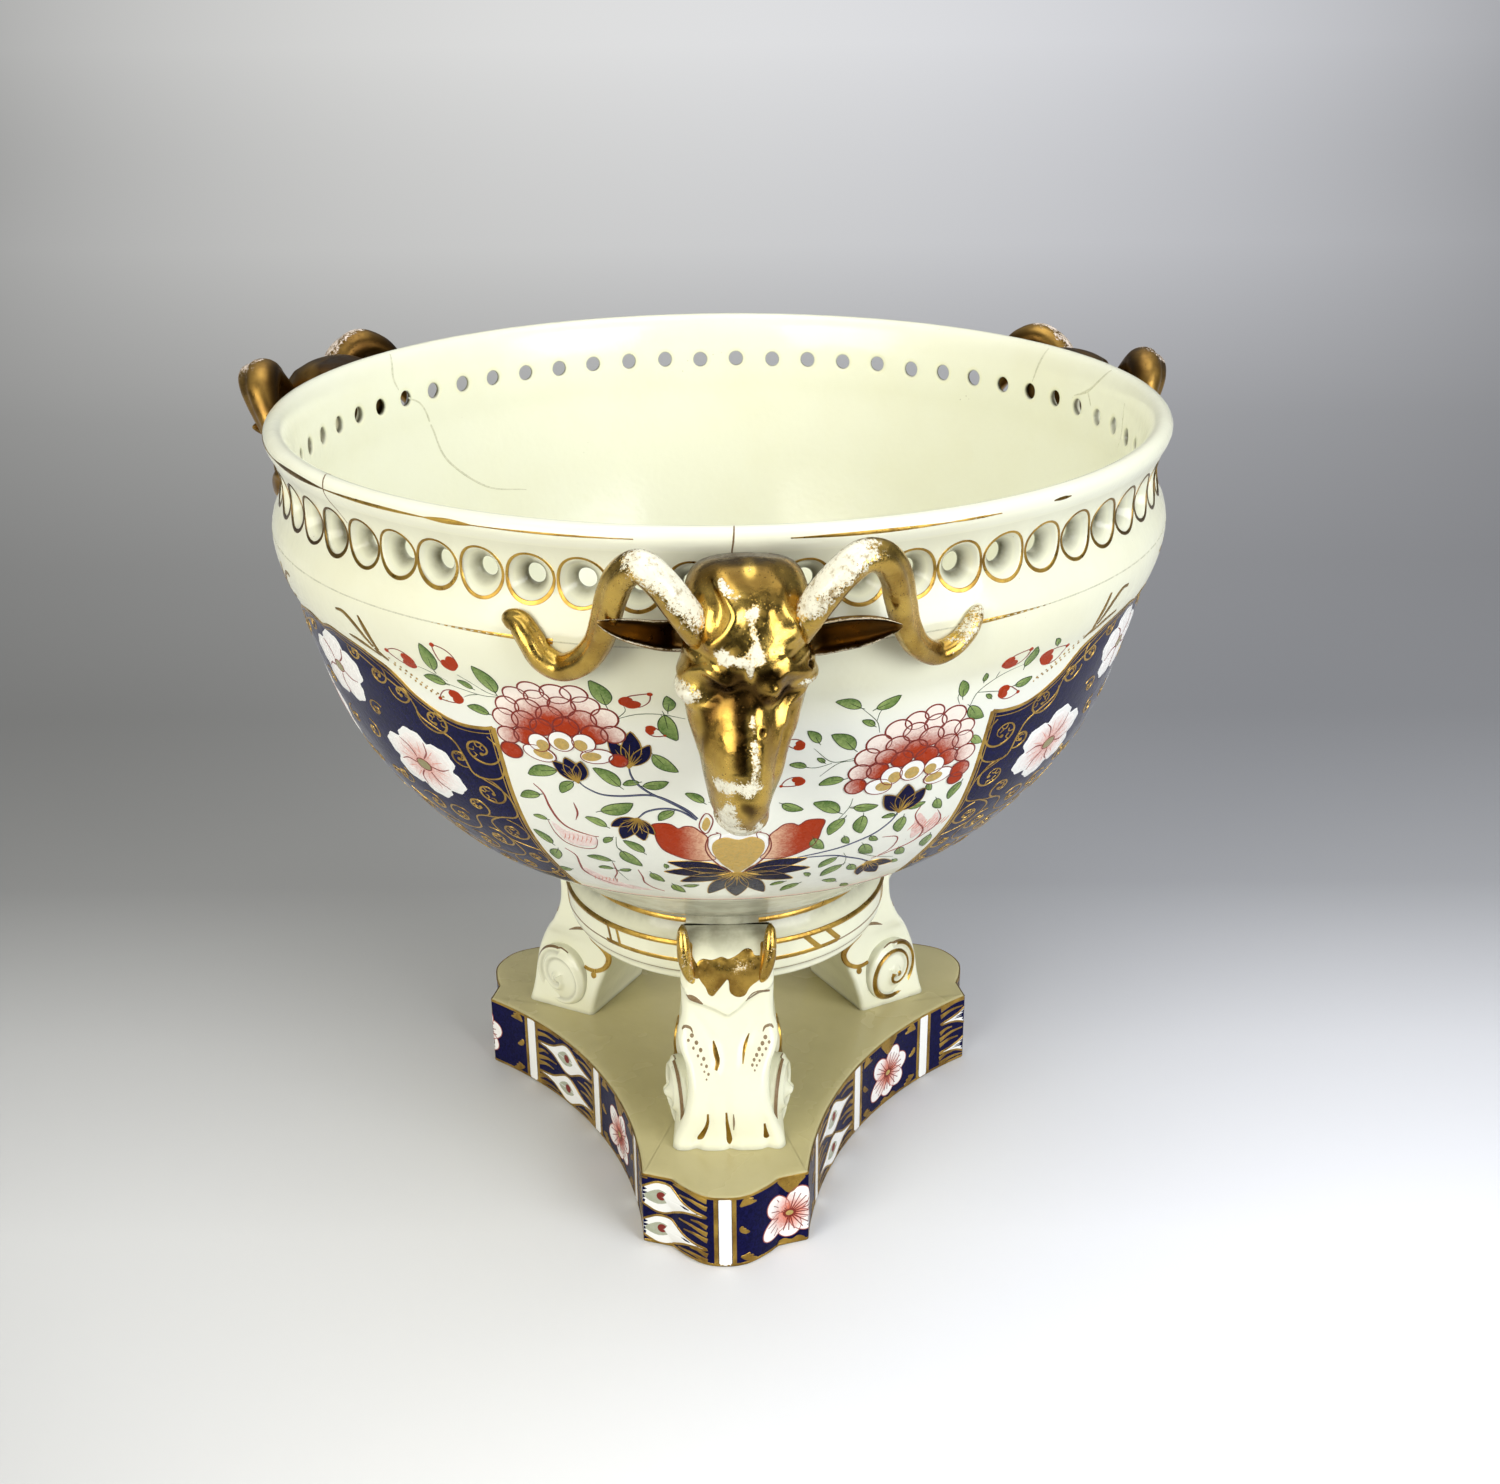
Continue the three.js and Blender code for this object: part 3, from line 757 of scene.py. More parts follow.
# A peony: its petals from the back to the front (middle and radius), its heart, and the small inner ones
PEONY_LEFT = dict(
    scales=[
        (783, 316, 20), (848, 313, 20), (820, 318, 23), (755, 335, 20), (861, 339, 21), (789, 335, 20),
        (825, 346, 21), (738, 361, 19), (887, 363, 20), (772, 361, 21), (854, 372, 21), (804, 370, 21),
        (731, 389, 21), (897, 396, 18), (762, 387, 20), (827, 389, 20), (788, 396, 18), (869, 400, 20),
        (729, 426, 18), (759, 422, 19), (728, 461, 18), (900, 454, 14),
    ],
    heart=(816, 432),
    petals=[
        (776, 457, 27, 17, 18), (868, 448, 26, 16, -14), (779, 432, 17, 20, 0), (851, 420, 18, 20, 0),
        (816, 422, 20, 22, 0),
    ],
)
PEONY_RIGHT = dict(
    scales=[
        (1369, 387, 16), (1341, 398, 19), (1405, 404, 21), (1313, 411, 21), (1374, 411, 19),
        (1285, 437, 20), (1342, 423, 20), (1430, 437, 18), (1402, 434, 20), (1270, 465, 20),
        (1316, 446, 19), (1372, 441, 21), (1432, 465, 19), (1403, 467, 21), (1261, 498, 18),
        (1348, 463, 20), (1300, 470, 17), (1444, 500, 19), (1290, 500, 18), (1371, 485, 20),
        (1328, 481, 18), (1411, 500, 18), (1257, 530, 17), (1443, 539, 18), (1439, 560, 14),
    ],
    heart=(1350, 520),
    petals=[
        (1296, 539, 23, 18, 14), (1402, 541, 26, 17, -14), (1315, 517, 18, 21, 0), (1389, 513, 18, 20, 0),
        (1350, 513, 21, 23, 0),
    ],
)
# Each bud: its middle and its tip
BUDS = [
    (582, 313, 533, 297), (663, 294, 636, 252), (656, 365, 616, 378), (918, 328, 956, 300),
    (948, 378, 972, 392), (1168, 424, 1140, 410), (1172, 502, 1140, 512), (1480, 318, 1522, 294),
    (1563, 334, 1618, 325), (1486, 376, 1524, 391),
]
# Each leaf: its middle, the way its tip points (0 is right, 90 is down), its length and its paleness
LEAVES = [
    (710, 309, -113, 62), (883, 305, -106, 60), (978, 322, -90, 38), (981, 376, 73, 56),
    (685, 384, -169, 38), (970, 455, 48, 52), (772, 504, 158, 56), (809, 532, 128, 40),
    (877, 496, -134, 54), (914, 507, 160, 28), (952, 504, -18, 42), (1009, 535, -140, 36),
    (738, 569, 157, 42), (885, 569, -27, 62), (963, 583, 133, 38), (844, 615, -147, 40, 0.3),
    (742, 627, -170, 26, 0.3), (856, 669, 130, 28), (898, 682, -128, 48), (727, 693, -118, 48),
    (888, 730, 64, 62), (822, 745, -172, 46), (733, 760, 111, 52), (946, 750, -90, 20), (824, 786, 170, 32),
    (864, 783, -27, 28), (924, 808, 66, 46), (716, 838, 153, 42), (959, 864, 67, 48), (985, 843, -14, 34),
    (1230, 342, -152, 44), (1291, 347, -32, 42), (1263, 387, -142, 26), (1410, 348, -100, 38),
    (1448, 335, -90, 20), (1463, 381, -135, 18), (1447, 409, 47, 48), (1463, 476, 45, 34, 0.3),
    (1183, 404, -122, 34), (1228, 422, -133, 54), (1163, 467, -162, 28), (1197, 459, -135, 18),
    (1217, 513, 170, 40), (1161, 565, 30, 40), (1215, 576, -143, 56), (1283, 587, 9, 44),
    (1393, 567, 68, 24), (1239, 634, 114, 50), (1285, 639, 84, 54), (1330, 628, 180, 26),
    (1378, 610, -4, 36), (1426, 624, 60, 38), (1450, 598, 110, 44), (1215, 682, 61, 48),
    (1265, 682, 65, 30), (1363, 663, 85, 50), (1319, 693, 48, 28), (1317, 732, 57, 54),
    (1246, 765, 127, 46), (1404, 778, 57, 44), (1456, 762, 79, 52), (1263, 808, 126, 56),
    (1309, 808, 56, 40), (1213, 810, -120, 26), (1159, 845, 152, 32), (1189, 873, 135, 48),
    (1274, 867, -150, 40), (1413, 828, 45, 28, 0.2), (1330, 916, 45, 36), (617, 284, -99, 58),
    (614, 340, -173, 42), (671, 333, -153, 28), (1530, 315, -80, 46), (1532, 370, -10, 36),
    (1580, 300, -120, 24),
]
STEMS = [
    [(728, 345), (705, 340), (680, 322), (665, 310)], [(735, 345), (700, 350), (660, 345), (620, 338)],
    [(690, 350), (675, 355), (664, 362)], [(640, 335), (612, 322), (590, 315)],
    [(905, 362), (935, 350), (968, 348), (1002, 356)], [(905, 362), (918, 345), (917, 335)],
    [(968, 349), (975, 360)], [(1072, 560), (1050, 550), (1030, 545)],
    [(1283, 411), (1276, 385), (1250, 352)], [(1276, 385), (1280, 365), (1292, 350)],
    [(1250, 463), (1215, 465), (1185, 430)], [(1250, 468), (1225, 470), (1198, 496)],
    [(1215, 468), (1190, 475), (1165, 468)], [(1257, 560), (1253, 585), (1235, 620)],
    [(1255, 585), (1270, 590)], [(1410, 380), (1405, 365), (1410, 350)],
    [(1430, 392), (1440, 365), (1470, 345), (1500, 335), (1535, 330)],
    [(1440, 365), (1470, 372), (1490, 378)], [(1470, 345), (1475, 330)],
    [(872, 655), (868, 690), (878, 715)], [(1270, 732), (1280, 755), (1284, 790)],
    [(1300, 742), (1345, 775), (1395, 800)], [(845, 745), (846, 790), (856, 840)],
]
BOUGHS = [
    [(832, 516), (842, 527), (864, 539), (894, 539), (933, 532), (955, 535), (976, 548), (998, 567),
     (1012, 588)],
    [(914, 468), (916, 488), (924, 507), (941, 526), (967, 544), (993, 567), (1010, 592)],
    [(918, 592), (933, 574), (959, 564), (985, 568), (1008, 590)],
    [(1347, 618), (1339, 643), (1317, 673), (1287, 693), (1256, 708), (1222, 717), (1183, 726)],
    [(1187, 729), (1226, 732), (1256, 738), (1287, 756), (1313, 773), (1335, 792)],
]
# Blue flowers: the root, the ways and the lengths of the petals, their width and their lift
BLUE_FLOWERS = [
    (831, 516, (-128, -104, -80), (58, 60, 54), 0.44, 0.24),
    (914, 470, (-112, -84, -58), (68, 84, 66), 0.36),
    (918, 592, (148, 118, 88, 64), (58, 74, 66, 50), 0.40),
    (1346, 620, (-122, -88, -56), (66, 74, 66), 0.46, 0.24), (1333, 792, (28, 56, 86), (84, 92, 70), 0.34),
]
# Pink scroll leaves: a line, its thickness, and whether it is deep or pale
TENDRILS = [
    ([(751, 535), (764, 556), (768, 591), (777, 626), (794, 647), (829, 660), (841, 660)], 5.0, 0.9),
    ([(755, 630), (759, 669), (772, 699), (798, 710), (824, 704), (835, 678), (835, 662)], 2.6, 0.7),
    ([(814, 569), (816, 595), (809, 617)], 4.0, 0.85),
    ([(761, 723), (775, 747), (770, 786), (766, 821), (781, 851), (811, 873), (838, 882)], 5.0, 0.9),
    ([(846, 760), (842, 804), (829, 834), (828, 858)], 3.4, 0.8),
    ([(890, 777), (892, 812), (890, 843), (903, 869), (924, 886)], 4.0, 0.85),
    ([(1389, 617), (1385, 643), (1400, 673), (1417, 695), (1424, 721), (1413, 747), (1369, 769),
     (1339, 782)], 4.6, 0.9),
    ([(1430, 643), (1447, 673), (1447, 704), (1421, 738)], 3.4, 0.8),
    ([(1335, 695), (1365, 704), (1374, 725), (1369, 756), (1352, 773)], 3.0, 0.8),
]
# Pink clouds: the middle, the outline and how deep
WASHES = [
    ((795, 675), [(760, 632), (785, 655), (832, 664), (830, 690), (800, 704), (772, 690)], 0.35),
    ((800, 850), [(772, 800), (800, 830), (850, 870), (900, 884), (860, 892), (800, 880), (775, 850)], 0.4),
    ((1408, 680), [(1390, 640), (1404, 652), (1418, 676), (1422, 705), (1405, 730), (1392, 690)], 0.5),
    ((1436, 690), [(1430, 650), (1446, 680), (1444, 706), (1428, 722), (1424, 690)], 0.45),
]
# The large flower under the head, whose lobes and side petals have a mirror image
LOTUS_X = 1077
LOTUS_ROOT_Y = 776
LOTUS_LOBE = [
    (937, 611), (950, 604), (968, 605), (980, 617), (990, 610), (1004, 611), (1014, 623), (1026, 641),
    (1026, 670), (1031, 696), (1038, 716), (1012, 722), (988, 718), (967, 704), (950, 686), (942, 660),
    (940, 635),
]
LOTUS_LINES = [
    ([(1045, 628), (1028, 640), (1022, 680), (1034, 722), (1058, 764), (1072, 778)], 3.4),
    ([(1040, 626), (1048, 632), (1044, 652), (1036, 680)], 2.0),
]
LOTUS_WHITE = [
    (1030, 650), (1046, 636), (1077, 628), (1108, 636), (1124, 650), (1128, 690), (1110, 740), (1077, 778),
    (1044, 740), (1026, 690),
]
LOTUS_HEART = [
    (1035, 656), (1054, 640), (1077, 648), (1100, 640), (1119, 656), (1121, 690), (1106, 735), (1086, 768),
    (1077, 778), (1068, 768), (1048, 735), (1033, 690),
]
LOTUS_HUSK = [(1014, 612), (1018, 588), (1027, 573), (1036, 590), (1032, 614), (1024, 630)]
LOTUS_HUSK_FILL = [(1018, 612), (1021, 594), (1027, 584), (1032, 596), (1029, 612), (1023, 622)]
# Its lower petals: the tip and the width, which is a share of the length, and which of them are pale
LOTUS_PETALS = [
    ((952, 732), 0.34), ((940, 776), 0.30), ((966, 822), 0.34), ((1018, 888), 0.30), ((1077, 906), 0.36),
]
LOTUS_PALE_FROM = 850
LOTUS_RAYS = (-168, -150, -128, -110, -90, -70, -52, -30, -12)


def mirrored(points, axis=LOTUS_X):
    return [(2 * axis - x, y) for x, y in points][::-1]


def paint_lotus(painting):
    """The large half-open flower under the head's muzzle."""
    x = LOTUS_X
    for edge, side in ((LOTUS_LOBE, 1), (mirrored(LOTUS_LOBE), -1)):
        def shade(p):
            return np.clip(1.3 - side * (p[:, 0] - x + side * 130) / 82, 0, 1)

        blot(painting.red, edge, (x - side * 89, 668), 0.02, 0.05, shade, smooth=3)
        stroke(painting.outline, edge, 2.4, 0.05, 0.05, closed=True)
    for flip in (False, True):
        for line, width in LOTUS_LINES:
            path = mirrored(line) if flip else line
            stroke(painting.outline, path, taper(width, 0.5, 0.4), 0.06, 0.05)
    blot(painting.white, LOTUS_WHITE, (x, 690), 0.035, 0.03)
    blot(painting.ochre, LOTUS_HEART, (x, 695), 0.065, 0.06, 0.3)
    blot(painting.ochre, LOTUS_HUSK_FILL, (1025, 604), 0.03, 0.05, 0.3)
    stroke(painting.outline, LOTUS_HUSK, 2.4, 0.03, 0.06, closed=True)
    root = np.array([x, LOTUS_ROOT_Y], float)
    for tip, width in LOTUS_PETALS:
        form = painting.slate if tip[1] > LOTUS_PALE_FROM else painting.cobalt
        for end in [tip] if tip[0] == x else [tip, *mirrored([tip])]:
            point = np.array(end, float)
            line = [root + (point - root) * 0.1, (root + point) / 2 + (0, -4), point]
            painting.petal(form, line, np.linalg.norm(point - root) * width, 0.03, 0.06, 2.0, 0.05)
    for angle in LOTUS_RAYS:
        reach = 66 - 26 * abs(math.cos(math.radians(angle)))
        tip = root + heading(-angle) * reach
        ray = [root - (0, 4), (root + tip) / 2, tip]
        stroke(painting.gold, ray, taper(4.0, 0.8, 0.15, 0.2), 0.09, 0.06)


def paint_washes(painting):
    """Pink clouds with a row of short strokes over each."""
    for centre, edge, deep in WASHES:
        blot(painting.pink, edge, centre, 0.0, 0.04, deep)
        for k in range(-3, 4):
            start = np.array(centre, float) + (k * 8, 12)
            stroke(painting.pink, [start, start + (6, -14), start + (8, -24)], taper(2.2), 0.03, 0.04, 0.8)


def paint_flowers(painting):
    """The floral panel round the axis of one head."""
    painting.peony(**PEONY_LEFT)
    painting.peony(**PEONY_RIGHT)
    for leaf in LEAVES:
        painting.leaf(*leaf)
    for bud in BUDS:
        painting.bud(*bud)
    for path in STEMS:
        stroke(painting.green_line, path, taper(1.6, 0.7, 0.5), 0.0, 0.05, 0.6)
    for path in BOUGHS:
        painting.bough(path)
    for flower in BLUE_FLOWERS:
        painting.blue_flower(*flower)
    for line, width, deep in TENDRILS:
        stroke(painting.outline, line, taper(width, 0.3, 0.25), 0.03, 0.05, deep - 0.5)
    paint_washes(painting)
    paint_lotus(painting)
    low = chart_y(PATTERN_LOW)
    for form, y, width in ((painting.pink, low, 2.6), (painting.slate, low + 9, 1.8)):
        line = [(x, y) for x in np.arange(704, 1482, 40)]
        stroke(form, line, width, 0.0, 0.04, 0.7, spacing=12)


# Cobalt panels

# They lie between the floral ones, and each is the same to both sides of its middle
COBALT_X = CHART_AXIS - 60 * CHART_PER_DEGREE
COBALT_HALF = 362
COBALT_EDGE = [
    (COBALT_X, 316), (375, 305), (408, 310), (447, 321), (482, 337), (511, 349), (536, 367), (560, 389),
    (595, 411), (624, 424), (653, 428), (688, 424), (704, 418),
]
# Each gilt scroll: its middle, its radius, where it starts and how far it turns
SCROLLS = [
    (666, 480, 38, -60, 500), (588, 436, 34, -150, -480), (655, 588, 36, -110, 480),
    (664, 700, 34, -90, 480), (527, 396, 24, -170, -450), (478, 372, 22, -60, 450),
    (424, 345, 17, -150, -420), (618, 512, 20, 60, 420), (610, 640, 26, 100, -440),
    (606, 752, 34, -100, 480), (668, 800, 28, -60, 440), (540, 700, 30, -30, -450),
    (476, 690, 28, -150, 450), (414, 640, 26, -60, 430), (380, 540, 22, -90, 420),
    (430, 470, 20, -30, -420), (540, 800, 34, -120, 470), (460, 790, 32, -60, -460),
    (392, 740, 30, -140, 450), (610, 860, 30, -90, -450), (520, 890, 28, -60, 440),
    (440, 880, 30, -120, -450), (378, 860, 28, -60, 440), (674, 880, 22, -90, 420),
    (376, 650, 18, 40, -400),
]
VINES = [
    [(700, 424), (704, 500), (690, 540), (640, 548), (626, 500), (612, 470), (560, 440), (545, 400),
     (500, 372), (440, 345), (380, 322)],
    [(640, 545), (690, 580), (694, 640), (650, 660), (620, 690), (640, 740), (696, 760)],
    [(650, 660), (590, 680), (570, 730), (510, 750), (430, 720), (390, 690)],
    [(640, 740), (640, 800), (590, 830), (500, 840), (430, 830), (350, 800)],
    [(696, 760), (700, 840), (650, 890), (560, 905)],
]
# The sprigs on the white ground over a panel: a line and its thickness
SPRIGS = [
    ([(430, 244), (450, 244), (474, 264), (500, 302)], 12.0),
    ([(488, 238), (495, 258), (502, 280), (509, 306)], 12.0),
    ([(444, 294), (466, 299), (488, 309), (508, 321)], 11.0), ([(502, 304), (512, 318), (522, 328)], 12.0),
]
DOT_PAIRS = 11


def cobalt_half(flip):
    """Carries points to the other half of a cobalt panel with flip, and leaves them otherwise."""
    return lambda p: np.asarray(mirrored(p, COBALT_X) if flip else p, float)


def paint_scroll(gold, put, x, y, radius, start, sweep):
    """A gilt C-scroll: it winds in to a curl, and small feathers leave its back."""
    steps = 22
    base = 0.07
    t = np.linspace(0, 1, steps)
    angles = np.radians(start + sweep * t)
    reach = radius * (1.15 - 0.92 * t**0.8)
    path = np.stack([x + reach * np.cos(angles), y + reach * np.sin(angles)], 1)
    stroke(gold, put(path), taper(5.2, 0.35, 0.75, 0.6), base, 0.08, spacing=4)
    dot(gold, *put([path[-1]])[0], 4.2, 8, base + 0.01, 0.09, rings=(0.6,), smooth=0)
    for share in (0.42, 0.52, 0.62, 0.72):
        k = int(share * (steps - 1))
        root = path[k]
        out, run = (way / np.linalg.norm(way) for way in (root - (x, y), path[k + 1] - path[k - 1]))
        tip = root - out * radius * 0.30 - run * radius * 0.05
        hook = tip - out * radius * 0.02 + run * radius * 0.22
        stroke(gold, put([root, tip, hook]), taper(3.4, 0.9, 0.3, 0.3), base, 0.07, spacing=4)


def paint_bloom(painting, x, y, radius, petals, deep, lean, flip=False):
    """A white flower that blushes to its heart, with drawn lines between its petals."""
    if flip:
        x, lean = 2 * COBALT_X - x, 180 - lean
    a = np.linspace(0, 2 * np.pi, 72, endpoint=False)
    lobes = np.abs(np.cos(0.5 * petals * (a - math.radians(lean))))
    reach = radius * (0.74 + 0.26 * lobes**0.7 + 0.025 * np.cos(3 * petals * a))
    edge = np.stack([x + reach * np.cos(a), y + 0.92 * reach * np.sin(a)], 1)
    centre = np.array([x, y], float)
    inner = centre + (edge - centre) * 0.86

    def blush(p):
        return np.clip(deep * 1.25 * (1 - np.linalg.norm(p - centre, axis=1) / (radius * 0.86)), 0, 1)

    blot(painting.white, edge, centre, 0.07, 0.05, 0.0, smooth=0)
    blot(painting.pink, inner, centre, 0.12, 0.03, blush, rings=(0.15, 0.3, 0.5, 0.7, 0.85), smooth=0)
    for k in range(petals):
        angle = lean + 360 / petals * (k + 0.5)
        bends = ((0, 0.2), (6, 0.45), (-4, 0.7))
        line = [centre + heading(angle + side) * radius * far for side, far in bends]
        tint = 0.3 if deep > 0.3 else -0.1
        stroke(painting.outline, line, taper(4.4, 0.7, 0.2, 0.3), 0.16, 0.03, tint, spacing=4)
        for spread in (-14, 12):
            way = heading(angle + 360 / petals / 2 + spread)
            root, tip = centre + way * radius * 0.3, centre + way * radius * 0.62
            vein = [root, (root + tip) / 2, tip]
            tint = min(1, deep * 1.1)
            stroke(painting.pink, vein, taper(3.2, 0.8, 0.1, 0.3), 0.14, 0.03, tint, spacing=5)
    dot(painting.ochre, x, y, radius * 0.17, 14, 0.17, 0.05, 1.0, squash=0.8)
    stroke(painting.outline, circle(x, y, radius * 0.19, 16, 0.8), 2.4, 0.17, 0.04, closed=True)


def paint_cobalt_field(painting, low):
    """The blue ground of a panel, and the gilt lines down its two ends."""
    xs = np.arange(COBALT_X - COBALT_HALF, COBALT_X + COBALT_HALF + 1, 4)
    edge = smooth_line(COBALT_EDGE, 8)
    tops = np.interp(np.abs(xs - COBALT_X), edge[:, 0] - COBALT_X, edge[:, 1])
    rows = np.array([np.stack([xs, tops + (low - tops) * share], 1) for share in np.linspace(0, 1, 64)])
    sheets = [on_bowl(rows[:1], SUNK), on_bowl(rows, 0.07), on_bowl(rows[-1:], SUNK)]
    painting.cobalt.grid(np.concatenate(sheets), 0.5, wrap=False, caps=False)
    for way in (-1, 1):
        for aside, width in ((0, 8.5), (-7.5 * way, 2.4)):
            line = [(COBALT_X + way * COBALT_HALF + aside, y) for y in np.linspace(418, low, 16)]
            stroke(painting.gold, line, width, 0.05, 0.09, spacing=10)


def paint_dots(gold, put):
    """Two rows of gilt dots that shrink and draw together beside a panel's corner."""
    for k in range(DOT_PAIRS):
        share = k / (DOT_PAIRS - 1)
        for side in (-1, 1):
            x = 530 + 96 * share + side * 3
            y = 326 + 50 * share**0.8 + side * (7 - 4 * share)
            size = 2.8 - 0.9 * share + 0.5 * math.sin(5.3 * k + side)
            dot(gold, *put([(x, y)])[0], size, 6, 0.0, 0.05, 0.2, rings=(0.5,), smooth=0)


def paint_cobalt(painting):
    """One cobalt panel with its white and pink flowers, gilt scrolls and gilt frame."""
    gold = painting.gold
    paint_cobalt_field(painting, chart_y(PATTERN_LOW) - 2)
    for flip in (False, True):
        put = cobalt_half(flip)
        rim = put(COBALT_EDGE)
        stroke(gold, rim, 8.0, 0.05, 0.09)
        stroke(gold, rim + (0, 11), 2.2, 0.07, 0.06)
        for scroll in SCROLLS:
            paint_scroll(gold, put, *scroll)
        for vine in VINES:
            stroke(gold, put(vine), taper(4.6, 0.7, 0.6), 0.065, 0.07)
        paint_bloom(painting, 515, 568, 94, 6, 0.62, 24, flip)
        for path, width in SPRIGS:
            stroke(gold, put(path), taper(width, 0.45, 0.6, 0.4), 0.0, 0.07, -0.45)
        paint_dots(gold, put)
    paint_bloom(painting, COBALT_X, 408, 84, 5, 0.06, -90)


# Lip, rings and cracks

WALL_LINE = np.vstack([OUTSIDE_LINE, smooth_line(BOWL_INSIDE, PROFILE_SAMPLES)[1:]])
WALL = profile_tables(WALL_LINE)
WALL_TOP = len(OUTSIDE_LINE)
WALL_PER_DEGREE = 2.0


def wall_place(bearing, up, inside=False):
    """A point of the wall's own chart at a bearing and a height, on the outside or the inside."""
    along, _, ups = WALL[:3]
    if inside:
        return bearing * WALL_PER_DEGREE, np.interp(up, ups[WALL_TOP:][::-1], along[WALL_TOP:][::-1])
    lip = slice(np.argmax(ups > 200), WALL_TOP)
    return bearing * WALL_PER_DEGREE, np.interp(up, ups[lip], along[lip])


def on_wall(chart, lift):
    """Distance round the wall from the front, and distance along its profile from the foot."""
    return over_profile(WALL, chart[..., 1], chart[..., 0] / WALL_PER_DEGREE, lift)


# What is left of the gilt line on the lip: from and to bearings, width and wear
LIP_LINE = [
    (-150, -95, 0.7, 0.2), (-95, -64, 0.7, -0.3), (-64, -49, 1.2, -0.6), (-49, -31, 0.85, -0.1),
    (-32, -26, 1.3, 0.1), (-26, -8, 0.55, -0.4), (8, 26, 0.95, 0.2), (25, 32, 0.6, 0.35),
    (39.6, 42.4, 0.9, -0.6), (100, 205, 0.7, 0.3),
]
# Hair cracks over the lip: bearing, height and whether on the inside
LIP_CRACKS = [
    [(2.2, 211.5, True), (2.3, 212.4, True), (2.2, 211), (2.0, 207), (2.3, 204.5)],
    [(-50.2, 211.3, True), (-51.0, 212.4, True), (-49.2, 211), (-48.6, 207), (-46.8, 203)],
]
# Cracks inside that run to the holes: bearings and heights along each, and its width
INNER_CRACKS = [
    ([(-121.2, 212.2), (-120.4, 209.4), (-119.9, 206), (-120.6, 202.4)], 1.0),
    ([(-122.6, 199.4), (-125.4, 196.1), (-127.4, 188.4), (-129.6, 178), (-136.5, 167.6), (-144, 164.2)],
     0.9),
    ([(122.0, 212.2), (122.6, 208.4), (123.5, 202.4)], 1.0),
    ([(105.6, 212.2), (107.1, 209), (109.6, 205.0), (113.0, 202.4)], 1.0),
    ([(109.6, 205.0), (108.0, 201.5)], 0.7), ([(97.0, 207.0), (96.0, 200.0), (97.2, 195.0)], 0.6),
]


def paint_rings(gold):
    """The gilt rings round the hollows, bright at the front and brown at the sides."""
    rng = np.random.default_rng(SEED + 1)
    a = np.linspace(0, 2 * np.pi, 20, endpoint=False)
    degree = CHART_PER_DEGREE * math.degrees(1 / WALL_RADIUS)
    y = chart_y(PIERCING_UP)
    for i in range(PIERCINGS):
        bearing = (360 / PIERCINGS * i + 180) % 360 - 180
        x = CHART_AXIS + CHART_PER_DEGREE * bearing
        wave = 0.9 * rng.standard_normal(3)
        reach = 1 + 0.012 * (wave[0] * np.cos(2 * a) + wave[1] * np.sin(2 * a) + wave[2] * np.cos(3 * a))
        side = x + HOLLOW_RADIUS * degree * reach * np.cos(a)
        ring = np.stack([side, y + HOLLOW_RADIUS * CHART_PER_MM * reach * np.sin(a) * 1.02], 1)
        low = rng.uniform(0.5, 1.0)
        brown = -0.75 * np.clip((abs(bearing) - 34) / 22, 0, 1)

        def width(t):
            return 5.0 + 4.0 * low * np.clip(np.sin(2 * np.pi * t), 0, 1)

        stroke(gold, ring, width, 0.0, 0.12, brown + 0.06, closed=True, spacing=4)


def paint_ledge(painting):
    """The worn line under the hollows, which is gilt only beside the horns' tips, over a thin grey line of
    painted shadow under the bulge and glaze pooled in its groove.
    """
    y = chart_y(186.9)
    # The grey line is painted shadow under the bulge, with glaze pooled in the moulding's groove
    for form, start, end, width, tint in (
        (painting.hair, 0, 120, 3.4, 0.35),
        (painting.gold, 23, 36, lambda t: 11 - 9 * t, 0.1),
        (painting.gold, 84, 99, lambda t: 2 + 10 * t, 0.1),
    ):
        xs = CHART_AXIS + CHART_PER_DEGREE * np.arange(start, end + 0.1, 1)
        stroke(form, [(x, y) for x in xs], width, -0.02, 0.06, tint, spacing=12)


def paint_cracks(painting):
    """Hair cracks over the lip, and paler ones inside that run to the holes."""
    for places in LIP_CRACKS:
        line = [wall_place(*place) for place in places]
        stroke(painting.brown, line, taper(0.45, 0.5, 0.4), 0.0, 0.04, 0.25, 0.6, ground=on_wall)
    for places, width in INNER_CRACKS:
        line = [wall_place(*place, True) for place in places]
        stroke(painting.hair, line, taper(width, 0.6, 0.3), 0.0, 0.04, 0.25, 0.8, ground=on_wall)


def paint_lip(gold):
    """The worn gilt line on the lip, piece by piece."""
    for start, end, width, wear in LIP_LINE:
        path = [wall_place(bearing, 210.4) for bearing in np.arange(start, end + 0.01, (end - start) / 24)]
        stroke(gold, path, taper(width, 0.3, 0.25, 0.5), -0.01, 0.07, wear, 1.5, ground=on_wall)


def make_painting(looks):
    """What repeats with each third of the pot, and then what it has only once."""
    thirds, once = Painting(), Painting()
    paint_flowers(thirds)
    paint_cobalt(thirds)
    paint_ledge(thirds)
    paint_leg(thirds)
    paint_collar(thirds)
    paint_plinth(thirds)
    thirds.finish(looks, "painted_", PANELS)
    paint_rings(once.gold)
    paint_lip(once.gold)
    paint_cracks(once)
    paint_spiral(once.gold)
    once.finish(looks, "painted_once_", 1)


# Ram heads

# Each head was set on by hand: its name, its bearing from the front, its own turn and its rise
RAMS = [("front", 0, -0.7, 0.0), ("back_right", 120, 0.0, 0.0), ("back_left", -120, 0.0, 2.5)]
